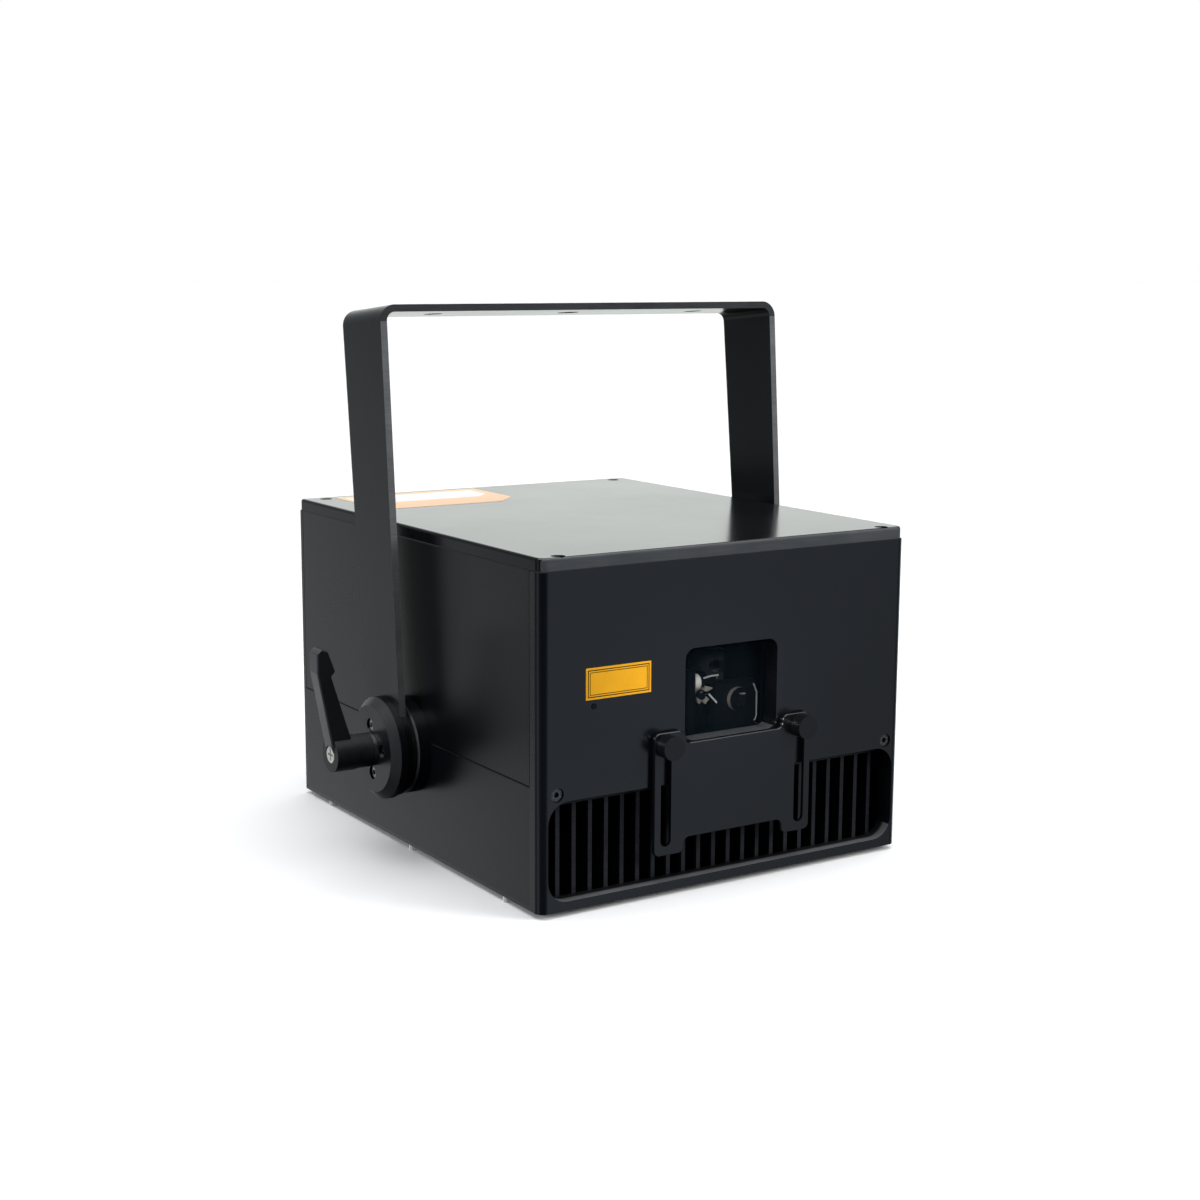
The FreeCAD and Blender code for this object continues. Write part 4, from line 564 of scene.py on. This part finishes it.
# painted light on the grille sill's front lip, fading to painted shade behind it
dressFaces("front_panel", "sillPaintedLightAndShade", lambda spot, way: way.z > tilt["corner"] and
           onSill(spot, dress["grilleSill"]))
# painted shade on the front panel's upper rim and in the screw seats
dressFaces("front_panel", "innerBlackAndPaintedShade", lambda spot, way:
           (way.z > tilt["rim"] and spot.z > dress["topRim"]) or
           (abs(way.y) < tilt["facing"] and inFrontSeat(spot)))
# painted shade on the top faces of the side panels under the lid
for sideName in ("side_panel_left", "side_panel_right"):
    dressFaces(sideName, "innerBlackAndPaintedShade", lambda spot, way: way.z > tilt["facing"] and
               spot.z > dress["topRim"])
for sinkName in ("heat_sink_fins", "heat_sink"):
    dressFaces(sinkName, "finFront", lambda spot, way: abs(way.y) > tilt["facing"])
# painted highlights on the lid's front edges, the chamfers of the clamp discs and bosses and the
# outer faces of the levers; the yoke's cut edges are lighter, partly a rough finish and partly
# painted highlight
dressFaces("lid", "lidEdgePaintedHighlight", lambda spot, way: way.y < -tilt["front"])
# painted highlight on the disc chamfers
dressFaces("clamp_discs", "discEdgePaintedHighlight", lambda spot, way: onChamfer(spot, way, dress["discRim"]))
# painted glint on the boss chamfers
dressFaces("side_bosses", "bossEdgePaintedGlint", lambda spot, way: onChamfer(spot, way, dress["bossRim"]))
# yoke arm edges lighter: partly cut finish, partly painted highlight
dressFaces("yoke", "yokeCutEdgeAndHighlight", lambda spot, way: abs(way.y) > tilt["facing"] and
           within(spot.z, dress["armEdge"]))
# yoke bar faces lighter: partly cut finish, partly painted highlight
dressFaces("yoke", "barCutEdgeAndHighlight", lambda spot, way: abs(way.y) > tilt["facing"] and
           spot.z >= dress["armEdge"][1])
# painted light on the levers' outer faces
for leverName in ("clamp_lever_left", "clamp_lever_right"):
    dressFaces(leverName, "leverOuterPaintedLight", lambda spot, way: spot.z > dress["leverFoot"] and
               way.x * spot.x > tilt["rim"] * abs(spot.x))
dressFaces("front_screws", "screwHead", lambda spot, way: way.y < -tilt["facing"])
# painted glint in the front screws' hex sockets
dressFaces("front_screws", "dullSteelAndPaintedGlint", lambda spot, way: inFrontSocket(spot))
# lighter grey in the lid's countersinks, partly milled metal and partly painted light
dressFaces("lid", "milledGreyAndPaintedLight", lambda spot, way: within(way.z, tilt["countersink"]) and
           inLidSeat(spot))
# bright noses of the scanner motors, ground edges of their mirrors, steering screw, socket pins
upperScan, lowerScan = dress["upperScan"], dress["lowerScan"]
dressFaces("galvo_motor_upper", "turnedSilver", lambda spot, way: spot.x > upperScan["nose"])
dressFaces("galvo_motor_lower", "castBeige", lambda spot, way: spot.y < lowerScan["nose"])
dressFaces("galvo_mirror_upper", "edgeSilverAndPaintedGlint", lambda spot, way: spot.x > upperScan["mirror"] and
           way.z - way.y > tilt["facing"])
dressFaces("galvo_mirror_upper", "innerBlackAndPaintedShade", lambda spot, way: spot.x < upperScan["mirror"])
dressFaces("galvo_mirror_lower", "edgeSilverAndPaintedGlint", lambda spot, way: spot.y < lowerScan["tip"])
dressFaces("galvo_mirror_lower", "innerBlackAndPaintedShade", lambda spot, way: spot.y > lowerScan["mirror"])
dressFaces("steering_mount", "castBeige", lambda spot, way: spot.y < dress["steeringFace"] and
           abs(way.y) < tilt["side"])
dressFaces("power_inlet", "nickelBright", lambda spot, way: onInletPin(spot))
dressFaces("control_sockets", "contactGold", lambda spot, way: onControlPin(spot))
dressFaces("signal_socket", "nickelBright", lambda spot, way: spot.y > dress["signalShell"])
print("second finishes done")

# modelling helpers, lengths in millimetres
touch = 0.01  # points this near are in line
skim = 0.05  # edges this near an outer face lie on it
smoothAngle = 32


def clearPick():
    bpy.ops.object.select_all(action="DESELECT")


def pickPiece(piece):
    clearPick()
    piece.select_set(True)
    bpy.context.view_layer.objects.active = piece


def settle(piece, name):
    piece.name = name
    piece.data.name = name
    bpy.ops.object.transform_apply(location=True, rotation=True, scale=True)
    return piece


def startBox(name, *spans):
    clearPick()
    middle = [(low + high) / 2000 for low, high in spans]
    bpy.ops.mesh.primitive_cube_add(size=1, location=middle)
    bpy.context.object.scale = [(high - low) / 1000 for low, high in spans]
    return settle(bpy.context.object, name)


def startRod(name, axis, centre, span, radius, sides):
    clearPick()
    turn = {"X": (0, math.pi / 2, 0), "Y": (math.pi / 2, 0, 0)}[axis]
    middle = [value / 1000 for value in centre]
    middle["XYZ".index(axis)] = (span[0] + span[1]) / 2000
    bpy.ops.mesh.primitive_cylinder_add(vertices=sides, radius=radius / 1000, location=middle,
                                        depth=abs(span[1] - span[0]) / 1000, rotation=turn)
    return settle(bpy.context.object, name)


def openEdit(piece, kind):
    bpy.context.view_layer.objects.active = piece
    bpy.ops.object.mode_set(mode="EDIT")
    bpy.ops.mesh.select_mode(type=kind)
    bpy.ops.mesh.select_all(action="DESELECT")
    return bmesh.from_edit_mesh(piece.data)


def closeEdit():
    bpy.ops.object.mode_set(mode="OBJECT")


def pickFaces(piece, test):
    for face in openEdit(piece, "FACE").faces:
        face.select_set(test(face.calc_center_median() * 1000, face.normal))
    bmesh.update_edit_mesh(piece.data)


def pickEdges(piece, test):
    for edge in openEdit(piece, "EDGE").edges:
        first, second = (corner.co * 1000 for corner in edge.verts)
        edge.select_set(test(first, second))
    bmesh.update_edit_mesh(piece.data)


def allFaces(spot, way):
    return True


def facesTo(axis, end):
    return lambda spot, way: end * getattr(way, axis) > tilt["facing"]


def edgesAlong(axis):
    others = [other for other in "xyz" if other != axis]
    return lambda a, b: all(abs(getattr(a, other) - getattr(b, other)) < touch for other in others)


# edges with both ends past a level, towards the plus or the minus end of an axis
def edgesPast(axis, level, end=1):
    return lambda a, b: all(end * getattr(corner, axis) > end * level for corner in (a, b))


def roundEdges(piece, width, segments, test):
    pickEdges(piece, test)
    bpy.ops.mesh.bevel(offset=width / 1000, segments=segments, affect="EDGES")
    closeEdit()


def extrudeBy(reach):
    bpy.ops.mesh.extrude_region_move(TRANSFORM_OT_translate={"value": reach})


def sinkFace(piece, test, rim, depth):
    pickFaces(piece, test)
    bpy.ops.mesh.inset(thickness=rim / 1000)
    grid = bmesh.from_edit_mesh(piece.data)
    way = next(face.normal.copy() for face in grid.faces if face.select)
    extrudeBy(way * (-depth / 1000))
    closeEdit()


def pullFace(piece, test, reach):
    pickFaces(piece, test)
    extrudeBy([value / 1000 for value in reach])
    closeEdit()


def carve(piece, cutter):
    pickPiece(piece)
    bpy.ops.object.modifier_add(type="BOOLEAN")
    piece.modifiers[-1].operation = "DIFFERENCE"
    piece.modifiers[-1].object = cutter
    bpy.ops.object.modifier_apply(modifier=piece.modifiers[-1].name)
    dropPiece(cutter)


def dropPiece(piece):
    bpy.data.objects.remove(piece, do_unlink=True)


def copyPiece(piece, name, shift):
    pickPiece(piece)
    bpy.ops.object.duplicate()
    bpy.context.object.location = [value / 1000 for value in shift]
    return settle(bpy.context.object, name)


def joinPieces(name, members):
    clearPick()
    for member in members:
        member.select_set(True)
    bpy.context.view_layer.objects.active = members[0]
    bpy.ops.object.join()
    return settle(bpy.context.object, name)


# places of a row of pieces about its middle
def rowOf(count, pitch):
    return [(step - (count - 1) / 2) * pitch for step in range(count)]


def shrunk(span, wall):
    return span[0] + wall, span[1] - wall


def finishPiece(piece, skinName, body):
    pickPiece(piece)
    bpy.ops.object.shade_smooth_by_angle(angle=math.radians(smoothAngle))
    piece.data.materials.clear()
    piece.data.materials.append(skin[skinName])
    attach(piece, body)


# dark double line round the plain amber plate
amberPlate = {"x": (-91.5, -53.7), "z": (114.1, 128.5), "face": -153.55, "proud": 0.05,
              "outerLine": 0.5, "gap": 0.7, "innerLine": 0.35}


def buildAmberLine(look):
    clearPick()
    (left, right), (low, high) = look["x"], look["z"]
    middle = [(left + right) / 2000, look["face"] / 1000, (low + high) / 2000]
    bpy.ops.mesh.primitive_plane_add(size=1, location=middle, rotation=(math.pi / 2, 0, 0))
    bpy.context.object.scale = ((right - left) / 1000, (high - low) / 1000, 1)
    line = settle(bpy.context.object, "amberPlateLine")
    pickFaces(line, allFaces)
    for width in (look["outerLine"], look["gap"], look["innerLine"]):
        bpy.ops.mesh.inset(thickness=width / 1000)
    bpy.ops.mesh.delete(type="FACE")
    gapMiddle = look["outerLine"] + look["gap"] / 2

    def inGap(spot, way):
        inside = min(spot.x - left, right - spot.x, spot.z - low, high - spot.z)
        return abs(inside - gapMiddle) < look["gap"] / 4

    pickFaces(line, inGap)
    bpy.ops.mesh.delete(type="FACE")
    bpy.ops.mesh.select_all(action="SELECT")
    extrudeBy((0, -look["proud"] / 1000, 0))
    bpy.ops.mesh.select_all(action="SELECT")
    bpy.ops.mesh.normals_make_consistent(inside=False)
    closeEdit()
    finishPiece(line, "labelInk", "housing")


buildAmberLine(amberPlate)

# blank two-tone sticker at the back of the lid, its right end cut at an angle
lidSticker = {"lidStickerSheet": {"x": (-99, -1), "y": (62, 129), "z": (188.0, 188.12), "cut": 17,
                                  "corner": 1.5, "segments": 4, "skin": "paperPeach"},
              "lidStickerField": {"x": (-95.5, -8), "y": (90, 121.5), "z": (188.1, 188.17),
                                  "cut": 10, "corner": 1.5, "segments": 3, "skin": "paperWhite"}}


def buildSticker(name, look):
    sheet = startBox(name, look["x"], look["y"], look["z"])
    upright = edgesAlong("z")
    end, front = look["x"][1], look["y"][0]
    roundEdges(sheet, look["cut"], 1, lambda a, b: upright(a, b) and
               max(abs(a.x - end), abs(a.y - front)) < touch)
    roundEdges(sheet, look["corner"], look["segments"], upright)
    finishPiece(sheet, look["skin"], "housing")


for stickerName, stickerLook in lidSticker.items():
    buildSticker(stickerName, stickerLook)
print("label places done")

# scanner trim seen through the window: nose ring, mirror clamp, steering post, a painted glint on
# the post's top and a painted highlight strip along the mount's edge
scanTrim = {"ring": {"centre": (0, -128.25, 108.3), "span": (-9.0, -4.92), "radius": 4.4,
                     "sides": 48, "wall": 1.4, "depth": 0.07, "bevel": 0.4},
            "clamp": {"span": (-124.4, -122.6), "bevel": 0.2, "ears": (
                ((3.3, 104.2), (8.1, 103.9), (8.6, 102.0), (6.7, 101.3), (3.0, 100.9)),
                ((2.2, 98.4), (3.6, 99.6), (7.5, 97.8), (6.6, 95.9), (3.7, 93.8)),
                ((-1.8, 98.5), (-0.1, 97.5), (1.2, 95.8), (0.4, 93.7), (-1.6, 94.9)))},
            "post": {"x": (24.6, 27.8), "y": (-129.2, -126.2), "z": (91.4, 97.8), "wall": 0.7,
                     "depth": 1.0},
            # painted glint: a bright sheet on top of the dark post
            "cap": {"x": (24.7, 27.7), "y": (-129.1, -127.4), "z": (97.8, 98.3), "bevel": 0.2},
            # painted highlight: a bright strip along the edge of the dark mount plate
            "rim": {"x": (39.3, 40.1), "y": (-123.65, -123.2), "z": (83.0, 96.3),
                    "up": (-2.3, 0, 5.3), "down": (-1.2, 0, -2.9)}}


# flat ear cut from a block along the lines between its corners, clockwise seen from the front
def cutEar(name, corners, span):
    across, up = zip(*corners)
    ear = startBox(name, (min(across), max(across)), span, (min(up), max(up)))
    for (x, z), (nextX, nextZ) in zip(corners, corners[1:] + corners[:1]):
        pickFaces(ear, allFaces)
        bpy.ops.mesh.bisect(plane_co=(x / 1000, 0, z / 1000), plane_no=(z - nextZ, 0, nextX - x),
                            use_fill=True, clear_outer=True, threshold=1e-6)
        closeEdit()
    return ear


def buildNoseRing(look):
    ring = startRod("scanNoseRing", "X", look["centre"], look["span"], look["radius"],
                    look["sides"])
    sinkFace(ring, facesTo("x", 1), look["wall"], look["depth"])

    def onOuterRim(a, b):
        fromAxis = math.hypot(a.y - look["centre"][1], a.z - look["centre"][2])
        return abs(a.x - b.x) < touch and fromAxis > look["radius"] - look["wall"] / 2

    roundEdges(ring, look["bevel"], 3, onOuterRim)
    finishPiece(ring, "turnedSilver", "housing")


def buildMirrorClamp(look):
    ears = [cutEar("mirrorEar", corners, look["span"]) for corners in look["ears"]]
    clamp = joinPieces("mirrorClamp", ears)
    roundEdges(clamp, look["bevel"], 2, edgesPast("y", look["span"][0] + skim, -1))
    finishPiece(clamp, "castBeige", "scan_lower")


def buildSteering(postLook, capLook, highlightStripLook):
    post = startBox("steeringPost", postLook["x"], postLook["y"], postLook["z"])
    sinkFace(post, facesTo("y", -1), postLook["wall"], postLook["depth"])
    finishPiece(post, "gunGrey", "housing")
    # painted glint on the post's top
    cap = startBox("steeringPaintedGlint", capLook["x"], capLook["y"], capLook["z"])
    roundEdges(cap, capLook["bevel"], 2, edgesPast("z", capLook["z"][1] - skim))
    finishPiece(cap, "edgeSilverAndPaintedGlint", "housing")
    # painted highlight strip along the mount's edge
    rim = startBox("steeringPaintedHighlight", highlightStripLook["x"], highlightStripLook["y"], highlightStripLook["z"])
    pullFace(rim, facesTo("z", 1), highlightStripLook["up"])
    pullFace(rim, facesTo("z", -1), highlightStripLook["down"])
    finishPiece(rim, "edgeSilverAndPaintedGlint", "housing")


buildNoseRing(scanTrim["ring"])
buildMirrorClamp(scanTrim["clamp"])
buildSteering(scanTrim["post"], scanTrim["cap"], scanTrim["rim"])
print("scanner trim done")

# rear: cross-recessed screws on the socket plates and round the fans
rearScrew = {"radius": 2.4, "height": 1.3, "sides": 24, "bevel": 0.6, "slot": (0.55, 2.6),
             "depth": 0.8, "plate": 139.25, "panel": 136.75,
             "onPlate": [(-102, 100.27), (-62, 100.27), (62.6, 112.2), (81.4, 88.3),
                         (31.6, 112.2), (50.4, 88.3)],
             "fans": {"x": (-60, 60), "z": 31, "reach": (-20, 20)}}


def buildRearScrews(look):
    top, (thin, wide), fans = look["height"], look["slot"], look["fans"]
    head = startRod("rearScrewHead", "Y", (0, 0, 0), (0, top), look["radius"], look["sides"])
    roundEdges(head, look["bevel"], 3, edgesPast("y", top - touch))
    for across, up in ((thin / 2, wide / 2), (wide / 2, thin / 2)):
        carve(head, startBox("screwBlade", (-across, across), (top - look["depth"], top + 1),
                             (-up, up)))
    spots = [(x, look["plate"], z) for x, z in look["onPlate"]]
    spots += [(x + across, look["panel"], fans["z"] + up)
              for x in fans["x"] for across in fans["reach"] for up in fans["reach"]]
    heads = [copyPiece(head, "rearScrewCopy", spot) for spot in spots]
    dropPiece(head)
    finishPiece(joinPieces("rearSocketScrews", heads), "zincBright", "housing")


buildRearScrews(rearScrew)

cutThrough = (130, 150)  # reach of a cutter through the rear trim

# rims of the two control sockets and the tabs above them
controlRim = {"x": (41, 72), "z": 100.27, "span": (139.2, 140.3), "radius": 10.9, "wall": 1.9,
              "sides": 48, "bevel": 0.5,
              "tab": {"x": (-3.2, 3.2), "y": (139.2, 140.1), "z": (10.2, 14.2), "bevel": 0.5}}


def buildControlRims(look):
    rims = []
    tabs = []
    tabLook = look["tab"]
    for x in look["x"]:
        centre = (x, 0, look["z"])
        rim = startRod("controlRim", "Y", centre, look["span"], look["radius"], look["sides"])
        carve(rim, startRod("controlBore", "Y", centre, cutThrough, look["radius"] - look["wall"],
                            look["sides"]))
        roundEdges(rim, look["bevel"], 2, edgesPast("y", look["span"][1] - skim))
        rims.append(rim)
        tab = startBox("controlTab", [x + side for side in tabLook["x"]], tabLook["y"],
                       [look["z"] + up for up in tabLook["z"]])
        roundEdges(tab, tabLook["bevel"], 2, edgesPast("y", tabLook["y"][1] - skim))
        tabs.append(tab)
    finishPiece(joinPieces("controlSocketRims", rims), "nickelBright", "housing")
    finishPiece(joinPieces("controlSocketTabs", tabs), "nickelBright", "housing")


buildControlRims(controlRim)

# moulded rims round the power inlet and the display
inletLip = {"x": (-97, -67), "y": (139.2, 139.9), "z": (89.3, 111.3), "wall": 2.5, "bevel": 0.35,
            "segments": 2}
displayTrim = {"x": (-27, 35), "y": (137.9, 139.0), "z": (131.53, 165.53), "wall": 3.6,
               "bevel": 0.6, "segments": 3}


def buildRim(name, look):
    rim = startBox(name, look["x"], look["y"], look["z"])
    carve(rim, startBox("rimHole", shrunk(look["x"], look["wall"]), cutThrough,
                        shrunk(look["z"], look["wall"])))
    roundEdges(rim, look["bevel"], look["segments"], edgesPast("y", look["y"][1] - skim))
    finishPiece(rim, "mouldedBlack", "housing")


buildRim("inletLip", inletLip)

# insert, two rows of pins and the screw posts of the signal socket
signalTrim = {"x": -79.5, "z": 148.53, "face": 142.75,
              "insert": {"wide": 36.0, "high": 5.6, "proud": 0.35, "corner": 2.0},
              "pin": {"radius": 0.55, "length": 0.5, "sides": 10, "bevel": 0.2, "sunk": 0.05,
                      "pitch": 2.7, "rows": ((13, 1.35), (12, -1.35))},
              "post": {"offset": 23.5, "radius": 2.9, "sides": 6, "y": (137.9, 142.9),
                       "wall": 1.1, "depth": 2.5}}


def buildSignalTrim(look):
    block, pinLook, postLook = look["insert"], look["pin"], look["post"]
    x, z, top = look["x"], look["z"], look["face"] + block["proud"]
    insert = startBox("signalInsert", (x - block["wide"] / 2, x + block["wide"] / 2),
                      (look["face"], top), (z - block["high"] / 2, z + block["high"] / 2))
    roundEdges(insert, block["corner"], 3, edgesAlong("y"))
    finishPiece(insert, "mouldedBlack", "housing")
    pin = startRod("signalPin", "Y", (0, 0, 0), (0, pinLook["length"]), pinLook["radius"],
                   pinLook["sides"])
    roundEdges(pin, pinLook["bevel"], 1, edgesPast("y", pinLook["length"] - skim))
    pins = [copyPiece(pin, "signalPinCopy", (x + across, top - pinLook["sunk"], z + up))
            for count, up in pinLook["rows"] for across in rowOf(count, pinLook["pitch"])]
    dropPiece(pin)
    finishPiece(joinPieces("signalPins", pins), "contactGold", "housing")
    posts = []
    for side in (-1, 1):
        centre = (x + side * postLook["offset"], 0, z)
        post = startRod("signalPost", "Y", centre, postLook["y"], postLook["radius"],
                        postLook["sides"])
        sinkFace(post, facesTo("y", 1), postLook["wall"], postLook["depth"])
        posts.append(post)
    finishPiece(joinPieces("signalPosts", posts), "nickelBright", "housing")


buildSignalTrim(signalTrim)

# sprung contacts in the network socket
networkContacts = {"x": 98, "y": (129.5, 137.0), "z": (103.3, 104.2), "width": 0.5, "pitch": 1.02,
                   "count": 8, "tip": (0, 0.3, -0.3)}


def buildNetworkContacts(look):
    strips = []
    for across in rowOf(look["count"], look["pitch"]):
        x = look["x"] + across
        strip = startBox("networkStrip", (x - look["width"] / 2, x + look["width"] / 2),
                         look["y"], look["z"])
        pullFace(strip, facesTo("y", 1), look["tip"])
        strips.append(strip)
    finishPiece(joinPieces("networkContacts", strips), "contactGold", "housing")


buildNetworkContacts(networkContacts)
buildRim("displayRim", displayTrim)

# grip ridges and white mark of the menu knob
knobRidge = {"x": 98, "z": 148.53, "y": (138.6, 147.2), "radius": 8.0, "width": 0.9, "root": 0.4,
             "proud": 0.35, "bevel": 0.25, "count": 24,
             "mark": {"x": (-0.45, 0.45), "y": (147.82, 147.95), "z": (2.5, 7.2), "corner": 0.3}}


def buildKnobRidges(look):
    top = look["radius"] + look["proud"]
    ridge = startBox("knobRidge", (-look["width"] / 2, look["width"] / 2), look["y"],
                     (look["radius"] - look["root"], top))
    roundEdges(ridge, look["bevel"], 2, edgesPast("z", top - touch))
    ridges = []
    for step in range(look["count"]):
        copy = copyPiece(ridge, "knobRidgeCopy", (0, 0, 0))
        copy.rotation_euler = (0, 2 * math.pi * step / look["count"], 0)
        copy.location = (look["x"] / 1000, 0, look["z"] / 1000)
        ridges.append(settle(copy, copy.name))
    dropPiece(ridge)
    finishPiece(joinPieces("menuKnobRidges", ridges), "turnedBlack", "menu")


def buildKnobMark(look, markLook):
    mark = startBox("menuKnobMark", [look["x"] + side for side in markLook["x"]], markLook["y"],
                    [look["z"] + up for up in markLook["z"]])
    roundEdges(mark, markLook["corner"], 3, edgesAlong("y"))
    finishPiece(mark, "paperWhite", "menu")


buildKnobRidges(knobRidge)
buildKnobMark(knobRidge, knobRidge["mark"])
print("rear trim done")


# pale floor under the feet
def addFloor(look):
    clearPick()
    bpy.ops.mesh.primitive_plane_add(size=2 * look["floorHalf"], location=(0, 0, 0))
    floor = bpy.context.object
    floor.name = "studioFloor"
    material, _, shader = startMaterial("paleFloor")
    shader.inputs["Base Color"].default_value = (*look["floorColour"], 1)
    shader.inputs["Roughness"].default_value = look["floorRough"]
    floor.data.materials.append(material)
    floor.visible_glossy = False  # the black faces mirror the studio and not the floor
    floor.visible_diffuse = False
    return floor


floor = addFloor(studio)
